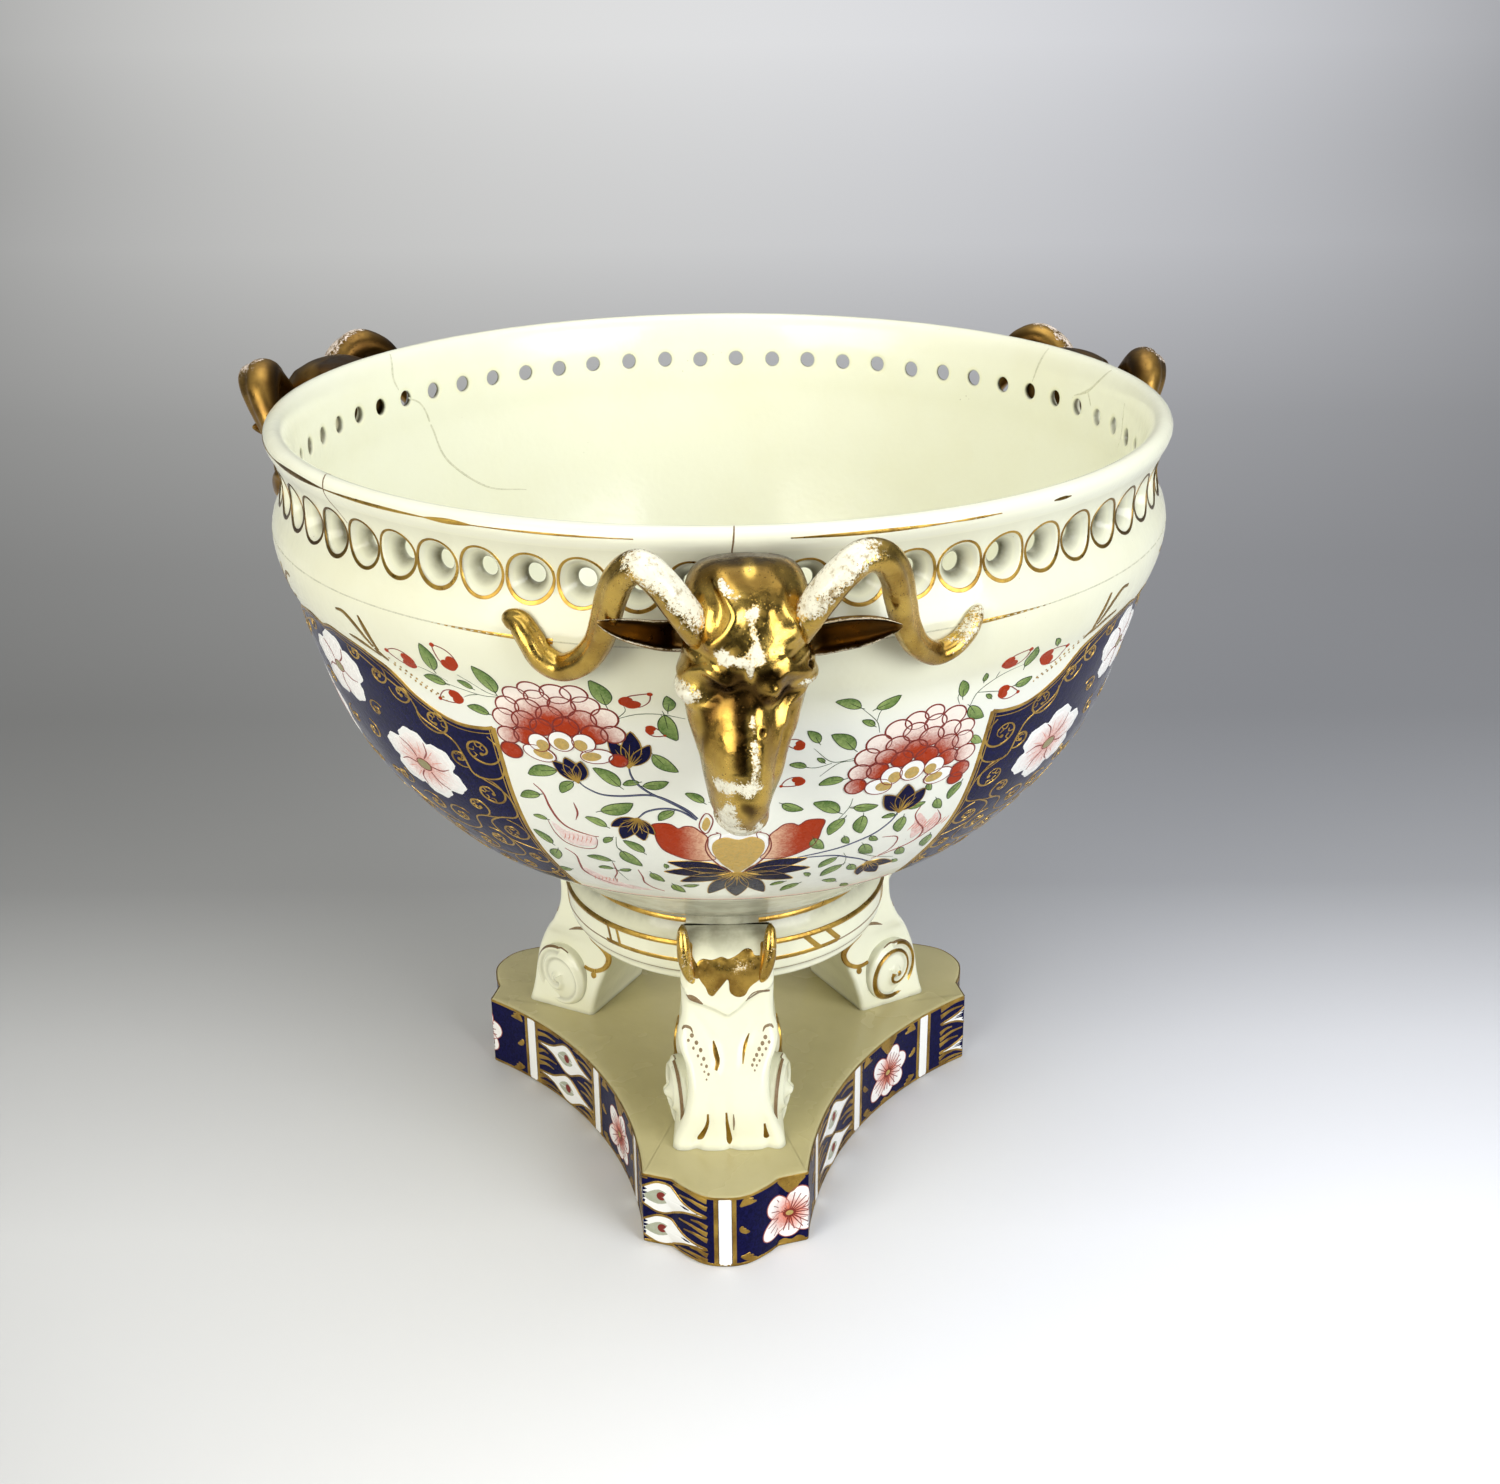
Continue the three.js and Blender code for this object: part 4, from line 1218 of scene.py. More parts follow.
# The head from the poll down to the muzzle: height, distance out, half depth, half width
HEAD = [
    (209.6, 123.6, 0.6, 1.0), (208.8, 123.5, 5.2, 7.6), (206, 122, 11, 11.2), (201, 122.5, 14.4, 12.8),
    (195, 124, 14.6, 12.9), (189, 125, 14.2, 13.4), (183.5, 126, 11.6, 13.6), (177, 126.5, 13.0, 12.6),
    (170, 126.5, 14.3, 10.4), (163, 126, 14.4, 8.7), (157.5, 125.3, 12.4, 7.2), (153.2, 124.6, 8.8, 5.4),
    (150.2, 124.2, 4.4, 3.2), (149.0, 124.1, 0.5, 0.5),
]
# What stands out of the head or sinks into it: side, height, half width, half height, amount
HEAD_SPOTS = [
    (-12.0, 184.3, 2.4, 2.3, 2.6), (-7.6, 185.6, 3.0, 3.2, -1.9), (8.2, 184.8, 2.8, 3.4, -1.7),
    (4.4, 186.0, 2.4, 2.1, 1.9), (-1.4, 187.0, 3.8, 3.8, -1.9), (11.6, 186.0, 1.9, 1.0, 1.0),
    (12.3, 189.6, 1.2, 1.2, 0.9), (-1.4, 174.0, 5.0, 7.4, 1.2), (-9.4, 192.6, 2.4, 2.2, -0.8),
    (9.6, 193.4, 2.2, 2.4, -0.7), (2.4, 178.2, 1.2, 1.2, 0.7), (2.4, 178.2, 0.6, 0.6, -1.6),
    (12.2, 189.7, 0.6, 0.6, -1.6), (0, 198.5, 5.0, 4.6, -0.8), (-6.2, 156.2, 1.3, 1.1, -1.0),
    (4.0, 156.6, 1.3, 1.1, -0.9), (-1.0, 152.2, 4.6, 0.5, -0.6), (-1.0, 154.0, 5.0, 1.0, 0.5),
    (9.0, 166.5, 1.4, 6.0, 0.5), (-8.8, 172.5, 0.8, 3.4, 0.5),
]
# Folds of the skin: the line of each by side and height, its half width and how far it stands out
HEAD_FOLDS = [
    ([(-5.3, 206.2), (-2.9, 202.3), (-3.6, 199.9), (-5.5, 197.7), (-7.6, 195.6)], 1.3, 0.8),
    ([(-7.6, 206.0), (-6.0, 202.6), (-6.6, 199.6)], 1.3, -0.8),
    ([(6.2, 206.0), (6.6, 202.6), (8.6, 199.6), (9.2, 196.6)], 1.3, 0.8),
    ([(-13.0, 187.6), (-11.2, 189.6), (-9.2, 190.4), (-7.0, 189.4), (-5.0, 187.6)], 1.1, 1.0),
    ([(-12.4, 192.8), (-9.8, 191.8), (-7.8, 190.6)], 0.7, 0.4),
    ([(13.0, 186.9), (11.6, 188.0), (9.4, 189.4), (7.0, 190.4), (5.4, 189.6)], 1.2, 0.9),
    ([(11.6, 192.6), (9.4, 191.6), (7.4, 192.4)], 0.6, 0.5),
    ([(10.6, 195.0), (8.4, 193.6), (6.2, 194.0)], 0.6, 0.3),
    ([(-11.8, 181.6), (-9.6, 182.0), (-7.4, 183.2)], 1.0, 0.5),
    ([(11.8, 183.6), (9.6, 181.8), (8.6, 178.4)], 1.0, 0.6),
    ([(9.6, 180.6), (8.2, 174.6), (7.4, 168.0)], 0.9, -0.5),
]
# The flat bridge of the nose, which widens downwards: its middle, and how wide and deep its flanks fall
BRIDGE_SIDE, BRIDGE_FALL, BRIDGE_DEEP = -0.9, 5.6, 1.3
# The nearest that a head's back comes to the axis, inside the wall's skin
HEAD_BACK = 108.9
# Where the gilding of the front head has gone: side, height, half width, half height, amount
HEAD_WORN = [
    (-5.2, 207.2, 0.9, 1.0, 0.7), (-4.2, 205.8, 1.2, 1.0, 0.85), (-2.4, 204.6, 1.4, 0.9, 0.8),
    (-0.2, 201.6, 1.7, 1.2, 0.9), (1.3, 202.8, 1.2, 1.6, 0.75), (0.4, 198.6, 1.0, 2.0, 0.85),
    (1.4, 195.6, 1.5, 2.4, 0.95), (-6.0, 193.9, 1.9, 1.5, 1.0), (-4.3, 193.0, 1.8, 1.2, 0.9),
    (-1.6, 193.0, 1.9, 1.5, 0.85), (1.6, 193.4, 2.0, 1.7, 0.95), (-0.2, 190.2, 0.9, 1.7, 0.85),
    (-12.4, 184.4, 2.3, 2.2, 1.7), (11.6, 186.4, 2.0, 1.1, 1.0), (0.4, 180.0, 1.0, 1.9, 0.9),
    (0.7, 175.6, 1.0, 2.7, 0.95), (1.2, 171.2, 1.0, 2.7, 0.9), (-6.0, 166.6, 1.7, 1.5, 0.95),
    (-3.4, 167.2, 2.5, 2.2, 1.1), (0.4, 166.4, 2.0, 2.0, 0.95), (-3.8, 162.0, 1.7, 2.6, 0.8),
    (-4.2, 157.6, 2.1, 3.4, 1.25), (-2.6, 153.6, 3.2, 2.2, 1.2), (1.0, 153.4, 2.6, 1.5, 0.9),
    (0.4, 208.6, 1.0, 0.8, 0.6), (3.0, 155.4, 1.2, 2.6, 0.95), (8.2, 204.8, 0.9, 0.8, 0.5),
    (-1.6, 158.4, 2.4, 2.2, 0.45), (-0.4, 150.8, 3.4, 1.2, 0.9),
]
# Where it has browned, with painted shade in its sockets, creases and pits: the same
HEAD_BROWN_AND_SHADE = [
    (-7.8, 186.0, 3.2, 3.2, 1.2), (-1.8, 187.6, 3.8, 3.4, 1.2), (-1.4, 183.0, 2.4, 3.4, 0.9),
    (2.4, 184.0, 3.4, 1.8, 0.9), (8.4, 185.0, 2.6, 3.4, 1.1), (3.8, 190.0, 4.0, 1.8, 0.9),
    (-1.5, 174.6, 2.0, 9.5, 1.15), (-0.3, 160.6, 2.2, 3.6, 1.3), (2.4, 178.2, 0.5, 0.5, 2.0),
    (12.2, 189.7, 0.5, 0.5, 2.0), (-8.4, 181.4, 2.2, 2.6, 0.9), (-8.8, 176.0, 1.4, 5.0, 0.6),
    (0, 208.0, 12, 6.0, 0.8), (-5.0, 190.6, 1.8, 1.0, 0.7), (4.4, 197.4, 3.2, 5.0, 0.35),
    (-2.2, 197.6, 2.0, 4.4, 0.3),
]
# The front head's horns: up from the forehead, over, down behind the ear and up again to a blunt tip.
# Each station is out, side, up and radius.
HORN_LEFT = [
    (127.6, 8.0, 190.6, 1.6), (129, 8.6, 193.5, 2.4), (131.5, 10.2, 197.2, 3.3), (133, 13.3, 202.5, 3.5),
    (133.4, 17, 207.6, 3.5), (131.5, 21.2, 210.6, 3.5), (128, 24.9, 207.6, 3.5), (125, 26.9, 202.5, 3.5),
    (121.5, 28.5, 196, 3.3), (118, 30.4, 189.9, 3.1), (115, 33.6, 185.1, 3.1), (110.8, 38.2, 182.1, 3.0),
    (109.1, 42.3, 183.8, 3.0), (107.8, 44.7, 187.5, 3.0), (105.8, 46.8, 190.4, 2.8),
    (104.2, 48.8, 190.8, 2.4), (102.9, 50.1, 190.4, 1.2),
]
HORN_RIGHT = [
    (127.6, 9.4, 191, 1.6), (129, 10.3, 194.6, 2.4), (131.5, 11.4, 199.1, 3.3), (133, 14, 203.9, 3.5),
    (133.4, 18.1, 208.8, 3.5), (131.5, 22.6, 211.6, 3.5), (129, 26.8, 210.4, 3.5), (126, 29.7, 205.8, 3.5),
    (122.5, 31.3, 199.5, 3.5), (118.5, 33, 192.9, 3.3), (115, 36, 186.9, 3.0), (110.2, 40.4, 182.9, 2.7),
    (108, 44.7, 183.4, 2.5), (106.3, 48, 186, 2.3), (104.7, 49.8, 188.6, 2.0), (103.3, 50.8, 189.9, 1.4),
    (102.3, 51.2, 190.4, 0.7),
]
# The grooves along a horn: where round it, and how deep
HORN_GROOVES = ((-0.9, 0.14), (1.0, 0.10), (2.4, 0.14))
# An ear along its length: out, side, up, half height, half thickness
EAR_LEFT = [
    (117.5, 10.5, 190.9, 3.4, 1.9), (119, 14.4, 191.5, 3.5, 2.0), (121.5, 18.2, 192.7, 3.3, 2.0),
    (124, 22.2, 194.4, 2.9, 1.8), (126, 25.6, 195.9, 2.3, 1.5), (127.4, 28.2, 197.2, 1.4, 1.0),
    (128, 29.9, 198.1, 0.4, 0.4),
]
EAR_RIGHT = [
    (117.5, 11.0, 189.8, 3.7, 1.9), (119.5, 15.2, 190.5, 3.9, 2.0), (122, 20.0, 192.2, 3.8, 2.1),
    (124.6, 24.4, 193.7, 3.3, 2.0), (126.6, 27.8, 194.9, 2.2, 1.6), (127.8, 29.9, 195.5, 1.2, 1.1),
    (128.2, 31.0, 195.8, 0.4, 0.4),
]
# How far an ear's opening is turned down from the front, on the left and on the right
EAR_TURN = (math.radians(-6), math.radians(8))


def set_on(points, bearing, rise=0.0):
    """Points given as out, side and up, set on the bowl at a bearing."""
    p = np.asarray(points, float)
    a = math.radians(bearing)
    out, side = p[..., 0], p[..., 1]
    x = out * math.sin(a) + side * math.cos(a)
    y = side * math.sin(a) - out * math.cos(a)
    return np.stack([x, y, p[..., 2] + rise], -1)


def soft_sum(side, up, spots):
    """The sum of soft round spots at a side and a height."""
    return sum(
        amount * np.exp(-(((side - s) / half_side) ** 2) - ((up - u) / half_up) ** 2)
        for s, u, half_side, half_up, amount in spots
    )


def fold_sum(side, up, folds):
    """The sum of soft folds along lines, at a side and a height."""
    total = 0.0
    for line, half, amount in folds:
        path = resampled(line, 0.35)
        gaps = np.hypot(side[:, None] - path[None, :, 0], up - path[None, :, 1]).min(axis=1)
        total = total + amount * np.exp(-((gaps / half) ** 2))
    return total


def head_rise(side, up, lumps):
    """How far a head's skin stands out at a side and a height: its relief, less the nose's flanks."""
    nose = np.clip((187 - up) / 5, 0, 1) * np.clip((up - 152) / 6, 0, 1)
    half = 0.9 + 2.6 * np.clip((185 - up) / 20, 0, 1)
    fall = np.clip((np.abs(side - BRIDGE_SIDE) - half) / BRIDGE_FALL, 0, 1)
    flank = BRIDGE_DEEP * np.where(side > BRIDGE_SIDE, 1.5, 0.4)
    relief = soft_sum(side, up, HEAD_SPOTS) + fold_sum(side, up, HEAD_FOLDS) + soft_sum(side, up, lumps)
    return relief - nose * flank * fall**2 * (3 - 2 * fall)


def make_head(name, bearing, rise, worn, material, rng):
    """A ram's head: a smooth skin over its sections, with brows, eyes, nose and nostrils in relief."""
    turn = np.linspace(-1, 1, 150, endpoint=False)
    angle = np.pi * np.sign(turn) * np.abs(turn) ** 1.3
    c, s = np.cos(angle), np.sin(angle)
    ranges = ((-13, 13), (150, 208), (0.8, 2.2), (0.8, 2.2), (-0.2, 0.22))
    lumps = [tuple(rng.uniform(low, high) for low, high in ranges) for _ in range(60)]
    points, tints = [], []
    for up, out, deep, wide in resampled(HEAD, 0.5):
        x = deep * np.sign(c) * np.abs(c) ** 0.86
        y = wide * np.sign(s) * np.abs(s) ** 0.94
        across = np.stack([c / deep, s / wide], 1)
        across /= np.linalg.norm(across, axis=1)[:, None]
        front = np.clip(c * 2.5 + 0.9, 0, 1) * min(1, deep / 5)
        raised = head_rise(y, up, lumps) * front
        lean = -1.3 * np.clip((184 - up) / 30, 0, 1)
        px = np.maximum(out + x + across[:, 0] * raised, HEAD_BACK)
        points.append(np.stack([px, y + across[:, 1] * raised + lean, np.full_like(px, up)], 1))
        wear = np.clip(soft_sum(y, up, HEAD_WORN), 0, 1.2) * (1 if worn else 0.35)
        # Browned gilding with painted shade in the hollows
        brown = np.clip(soft_sum(y, up, HEAD_BROWN_AND_SHADE), 0, 1) * np.clip(1 - 2 * wear, 0, 1)
        # Painted shade on the back of the head, which faces the wall
        back_shade = np.clip(0.3 - c * 3, 0, 1)
        tints.append((wear - brown) * np.clip(c * 3 + 0.5, 0, 1) - back_shade)
    rows = set_on(np.array(points), bearing, rise)
    skin(rows, np.array(tints), "ram_head_skin_" + name, material, "gilding", ["ram_head_" + name])


def tube_rows(stations, spacing, around, shape):
    """Rings round a path of points with a radius, and their ways out.

    The shape scales the radius by the angle round, which starts outwards, and the share of the way.
    """
    line = resampled(stations, spacing)
    a = np.linspace(0, 2 * np.pi, around, endpoint=False)
    rows, ways = [], []
    for i, (point, along) in enumerate(zip(line, directions(line[:, :3]))):
        face = np.array([1.0, 0.0, 0.0]) - along * along[0]
        face /= np.linalg.norm(face)
        side = np.cross(along, face)
        way = face[None] * np.cos(a)[:, None] + side[None] * np.sin(a)[:, None]
        rows.append(point[:3] + way * (point[3] * shape(a, i / (len(line) - 1)))[:, None])
        ways.append(way)
    return np.array(rows), np.array(ways)


def horn_stations(side, worn):
    """A horn's stations. Those of the back heads are between the front head's two, with a lower crown."""
    stations = np.array(HORN_LEFT if side < 0 else HORN_RIGHT)
    if not worn:
        stations = (np.array(HORN_LEFT) + np.array(HORN_RIGHT)) / 2
        crown = np.exp(-(((np.arange(len(stations)) - 5) / 2.6) ** 2))
        stations[:, 2] -= 3.6 * crown
        stations[:, 3] += 2.2 * crown
    stations[:, 1] *= side
    return stations


def make_horn(name, side, bearing, rise, worn, material, rng):
    """A horn: a tube with long grooves, worn white over its top where hands have rubbed it."""
    stations = horn_stations(side, worn)
    phase = rng.uniform(0, 6)

    def shape(a, t):
        groove = 0.0
        for at, deep in HORN_GROOVES:
            gap = (a - at * side + np.pi) % (2 * np.pi) - np.pi
            groove = groove + deep * np.exp(-((gap / 0.3) ** 2))
        keel = 0.07 * np.cos(2 * (a - 0.5 * side))
        uneven = 0.025 * np.sin(9 * t + phase + 2 * np.cos(a)) + 0.015 * np.sin(31 * t + 3 * a)
        flat = 1 - 0.30 * np.clip((t - 0.86) / 0.14, 0, 1) * np.cos(a) ** 2
        return (1 + keel - groove * np.clip(8 * t - 1.6, 0, 1) + uneven) * flat

    rows, ways = tube_rows(stations, 0.7, 28, shape)
    t = np.linspace(0, 1, len(rows))[:, None]
    upward = ways[..., 0] * 0.45 + ways[..., 2] * 0.8
    top = np.exp(-(((t - 0.22) / 0.12) ** 4)) * np.clip(0.9 * upward + 0.25, 0, 1)
    tip = np.clip((t - 0.80) / 0.12, 0, 1) * np.clip(upward + 0.5, 0, 1)
    # Painted shade on the horn's back, which faces the wall
    back_shade = np.clip(-2 * ways[..., 0] - 0.6, 0, 1)
    on_top, on_tip = (1.5, 0.8 if side > 0 else -0.45) if worn else (0.9, 0.35)
    tints = np.clip(on_top * top + on_tip * tip, 0, 1.5) - back_shade
    rows = set_on(rows, bearing, rise)
    skin(rows, tints, "ram_horn_skin_" + name, material, "gilding", ["ram_horn_" + name])


def make_ear(name, side, bearing, rise, material):
    """An ear: a pointed leaf whose hollow, darkened with painted shade, faces the front or down, between
    thin pale edges.
    """
    stations = resampled(EAR_LEFT if side < 0 else EAR_RIGHT, 0.5)
    turn = EAR_TURN[0 if side < 0 else 1]
    a = np.linspace(-np.pi, np.pi, 64, endpoint=False)
    gap = np.abs((a + turn + np.pi) % (2 * np.pi) - np.pi)
    mouth = np.clip(1 - gap**4, 0, 1)
    edge = np.exp(-(((gap - 1.08) / 0.16) ** 2))
    rows, tints = [], []
    for k, (out, across, up, high, thick) in enumerate(stations):
        share = k / (len(stations) - 1)
        inside = mouth * np.clip(share * 5, 0, 1) * min(1.0, high / 1.6)
        x = thick * np.cos(a) - inside * 1.55 * thick * np.cos(turn)
        z = high * np.sin(a) + inside * 1.25 * high * math.sin(turn)
        rows.append(np.stack([out + x, np.full_like(x, side * across), up + z + 0.3 * x], 1))
        # The hollow gets painted shade, and the edges are worn pale
        tints.append(np.where(gap < 0.88, -inside, 1.05 * edge))
    rows = set_on(np.array(rows), bearing, rise)
    skin(rows, np.array(tints), "ram_ear_skin_" + name, material, "gilding", ["ram_ear_" + name])


def make_rams(front, ears, back):
    """The three heads, each with its horns and ears."""
    for number, (name, bearing, turn, rise) in enumerate(RAMS):
        rng = np.random.default_rng(SEED + 20 + number)
        place = BOWL_TURN + bearing + turn
        worn = name == "front"
        material = front if worn else back
        make_head(name, place, rise, worn, material, rng)
        for side_name, side in (("left", -1), ("right", 1)):
            full = f"{name}_{side_name}"
            make_horn(full, side, place, rise, worn, material, rng)
            make_ear(full, side, place, rise, ears)


# Legs

# Level sections of a leg from its toe to its head: height, front, front half width, back, back half width
LEG = [
    (22.7, 61.6, 15.3, 38.6, 14.6), (26, 60.9, 14.5, 37.8, 15), (29.5, 60.9, 13.1, 36.6, 15.4),
    (33.5, 61, 11.9, 35.3, 15.4), (37, 60.6, 11.1, 34, 15), (40, 59.8, 10.8, 33, 14.6),
    (43, 58.5, 10.9, 32.3, 14.1), (46, 56.8, 11.5, 31.7, 13.6), (48.5, 54.9, 12.7, 31.4, 13.3),
    (51, 53, 13.4, 31.2, 13), (54, 51.6, 13.2, 31.4, 12.7), (57, 50.8, 12.4, 31.7, 12.4),
    (61.4, 50.3, 12.3, 33, 12.4), (66, 50.3, 12.4, 35, 12.4), (70.5, 50.4, 12.4, 37, 12.4),
    (75, 49.4, 12.4, 39, 12.4), (78.6, 46.6, 12, 40, 12), (80.6, 43.4, 11.4, 40.4, 11.4),
]
LEG_ROWS = resampled(LEG, 0.6)
FRONT, HALF, BACK, BACK_HALF = 1, 2, 3, 4
LEG_CORNER = 2.4
LEG_BACK_CORNER = 1.5
# The lower edge of the leaf that lies over a leg's head: side and height
LEAF_SIDE = [-14, -12.2, -10.2, -6.2, -3.1, 0, 2.6, 4.8, 7.5, 11.5, 14]
LEAF_UP = [70, 67.6, 63.1, 61.6, 60.2, 58.4, 60.2, 62.6, 65.1, 66.5, 70]
# Flutes down the front: height, side and depth along each
FLUTES = [
    [(22.7, -8.9, 1.1), (25, -8.4, 1.2), (27, -7.1, 1.0), (30.4, -5.9, 0.7), (34, -5.6, 0.4),
     (40, -5.5, 0)],
    [(22.7, 0.3, 1.0), (27, 0, 1.0), (30, -0.4, 0.8), (34, -0.6, 0.5), (41, -0.6, 0)],
    [(22.7, 10.4, 1.0), (25.5, 10.1, 1.0), (29.8, 9.6, 0.6), (37, 9.4, 0)],
    [(43, -3.2, 0), (45, -3.3, 0.5), (47, -2.8, 0.7), (51, -3.8, 0.6), (57, -8, 0.3), (60, -10, 0)],
    [(44, 3.8, 0), (46.4, 3.9, 0.5), (50, 4.6, 0.7), (53, 5.7, 0.6), (57, 8, 0.3), (60, 10.4, 0)],
]
# The roll at a leg's foot: its middle, its radius and how far its face turns to the front
ROLL_OUT, ROLL_SIDE, ROLL_UP = 49.4, 13.5, 33.8
ROLL_RADIUS = 9.7
ROLL_SPLAY = math.radians(13)
# The spiral on a roll: turns from its top and distance from its middle
SPIRAL_TURNS = [0, 0.25, 0.5, 0.75, 1.0, 1.25, 1.5, 1.75]
SPIRAL_REACH = [9.1, 9.0, 8.8, 8.2, 7.0, 5.5, 3.7, 1.8]
# The gilt end of the leaf on a leg's right: out, side, up and radius
LEAF_END = [
    (50.0, 8.8, 68, 1.0), (50.6, 9.9, 71, 1.9), (50.2, 11.0, 75, 2.2), (49.2, 11.4, 79, 2.1),
    (47.8, 11.6, 82, 1.6), (46.6, 11.5, 83.4, 0.5),
]
# The gilding on a leg's leaf: a ragged patch in the middle and one at each side
LEAF_BIB = [
    (-8.2, 73.6), (-7.4, 69.9), (-5.8, 67.2), (-5.0, 65.0), (-3.7, 64.6), (-2.9, 67.2), (-2.2, 69.2),
    (-0.9, 69.8), (0.4, 69.2), (0.7, 65.7), (2.6, 64.1), (4.7, 64.6), (6.2, 67.2), (9.2, 69.8),
    (10.8, 72.0), (11.2, 74.6), (9.6, 75.8), (7.4, 76.0), (6.6, 77.2), (4.8, 77.4), (2.6, 76.1),
    (0.4, 75.3), (-1.4, 75.8), (-4.0, 75.1), (-6.6, 75.3),
]
LEAF_SIDES = [
    [(-12.6, 78.5), (-12.4, 74.7), (-10.0, 71.0), (-7.4, 70.0), (-7.6, 73.4), (-9.0, 76.0), (-9.2, 78.6)],
    [(12.8, 78.4), (12.2, 74.3), (10.8, 72.0), (9.2, 71.8), (8.6, 74.6), (8.9, 77.0), (9.2, 78.6)],
]
# Brush marks on a leg's front: colour, path, width, tint and how broad they end
LEG_MARKS = [
    ("brown", [(-10.9, 64.9), (-9.3, 64.0), (-6.6, 62.2)], 1.9, 0.3, 0.3),
    ("brown", [(5.0, 62.8), (7.4, 65.0), (9.4, 65.5), (11.3, 65.0)], 1.9, 0.3, 0.3),
    ("brown", [(-12.2, 54.2), (-11.4, 55.1), (-10.0, 54.8), (-9.4, 53.6)], 0.9, 0.4, 0.3),
    ("brown", [(12.2, 54.2), (11.4, 55.1), (10.0, 54.8), (9.4, 53.6)], 0.9, 0.4, 0.3),
    ("gold", [(-3.9, 51.4), (-3.3, 48.8), (-2.8, 47), (-3.3, 45.1)], 1.5, -0.3, 0.6),
    ("gold", [(5.7, 53.0), (4.8, 50.9), (4.2, 48.8), (3.9, 46.4)], 1.0, 0.2, 0.3),
    ("brown", [(1.2, 33.8), (1.3, 31.0), (1.2, 28.6)], 0.6, 0.5, 0.3),
]
# Rows of dots down a leg, and the gilt drops between its toes
LEG_DOTS = [
    [(-9.6, 52.9), (-8.4, 51.2), (-7.3, 49.6), (-6.5, 47.8), (-5.8, 46.2), (-5.3, 44.4)],
    [(10.0, 52.2), (9.2, 50.8), (8.3, 49.6), (7.6, 48.4), (6.9, 47.4), (6.4, 46.3)],
]
TOE_DROPS = [
    [(-5.6, 33.7), (-5.8, 30.4), (-7.1, 27.1), (-8.4, 25.2)],
    [(-0.7, 34.1), (-0.5, 30.4), (-0.1, 27.1), (0.1, 24.0)], [(9.5, 30.2), (9.8, 27.4), (10.1, 25.3)],
]
# The gilt hook on a leg's flank, and the brown line over it: out and up
FLANK_HOOK = [
    (39.9, 51.2), (37.7, 48.8), (34.7, 47), (32.6, 45.1), (32.2, 43.0), (33.6, 40.6), (36.5, 38.9),
    (39.2, 38.6), (41.0, 38.9),
]
FLANK_LINE = [(40.0, 51.7), (41.4, 51.4), (43.6, 51.0), (46.4, 49.8)]


def leg_at(up, column):
    """A measure of the leg's section at a height."""
    return np.interp(up, LEG_ROWS[:, 0], LEG_ROWS[:, column])


def leg_front(side, up):
    """How far out the leg's front stands at a side and a height, with its leaf and its flutes."""
    half = leg_at(up, HALF)
    over = np.clip(np.abs(side) - (half - LEG_CORNER), 0, LEG_CORNER)
    out = leg_at(up, FRONT) - LEG_CORNER + np.sqrt(LEG_CORNER**2 - over**2)
    out = out + 0.5 * (1 - (side / half) ** 2)
    above = up - np.interp(side, LEAF_SIDE, LEAF_UP)
    out = out + 0.9 / (1 + np.exp(-above / 0.22)) + 0.45 * np.exp(-((above - 0.7) ** 2))
    for flute in FLUTES:
        ups, sides, depths = np.array(flute).T
        out = out - np.interp(up, ups, depths) * np.exp(-(((side - np.interp(up, ups, sides)) / 1.4) ** 2))
    return out


def leg_flank(out, up):
    """How far to the side the leg's flank stands at a distance out and a height."""
    front, back = leg_at(up, FRONT) - LEG_CORNER, leg_at(up, BACK) + LEG_BACK_CORNER
    share = np.clip((out - back) / (front - back), 0, 1)
    return leg_at(up, BACK_HALF) + (leg_at(up, HALF) - leg_at(up, BACK_HALF)) * share


def roll_rise(x, y):
    """The height of the snail on a roll's face."""
    reach = np.hypot(x, y)
    turn = (np.pi / 2 - np.arctan2(y, x)) / (2 * np.pi) % 1
    rise = 0.7 + 2.2 * np.clip(1 - reach / ROLL_RADIUS, 0, 1) + 1.3 * np.exp(-((reach / 1.6) ** 4))
    for lap in (0, 1):
        crest = np.interp(turn + lap, SPIRAL_TURNS, SPIRAL_REACH)
        rise = rise + 0.95 * np.exp(-(((reach - crest) / 0.85) ** 2)) * (turn + lap < 1.85)
    return rise


def on_leg_front(chart, lift):
    """Side and height on a leg's front."""
    side, up = chart[..., 0], chart[..., 1]
    return set_on(np.stack([leg_front(side, up) + lift, side, up], -1), LEG_TURN)


def on_leg_flank(way):
    """Distance out and height on a leg's flank, on the side that way points to."""
    def ground(chart, lift):
        out, up = chart[..., 0], chart[..., 1]
        return set_on(np.stack([out, way * (leg_flank(out, up) + lift), up], -1), LEG_TURN)
    return ground


def on_roll(way):
    """Points on the face of a roll, from its middle: outwards and up."""
    def ground(chart, lift):
        x, y = chart[..., 0], chart[..., 1]
        rise = roll_rise(x, y) + lift
        out = ROLL_OUT + x * math.cos(ROLL_SPLAY) + rise * math.sin(ROLL_SPLAY)
        side = way * (ROLL_SIDE - x * math.sin(ROLL_SPLAY) + rise * math.cos(ROLL_SPLAY))
        return set_on(np.stack([out, side, ROLL_UP + y], -1), LEG_TURN)
    return ground


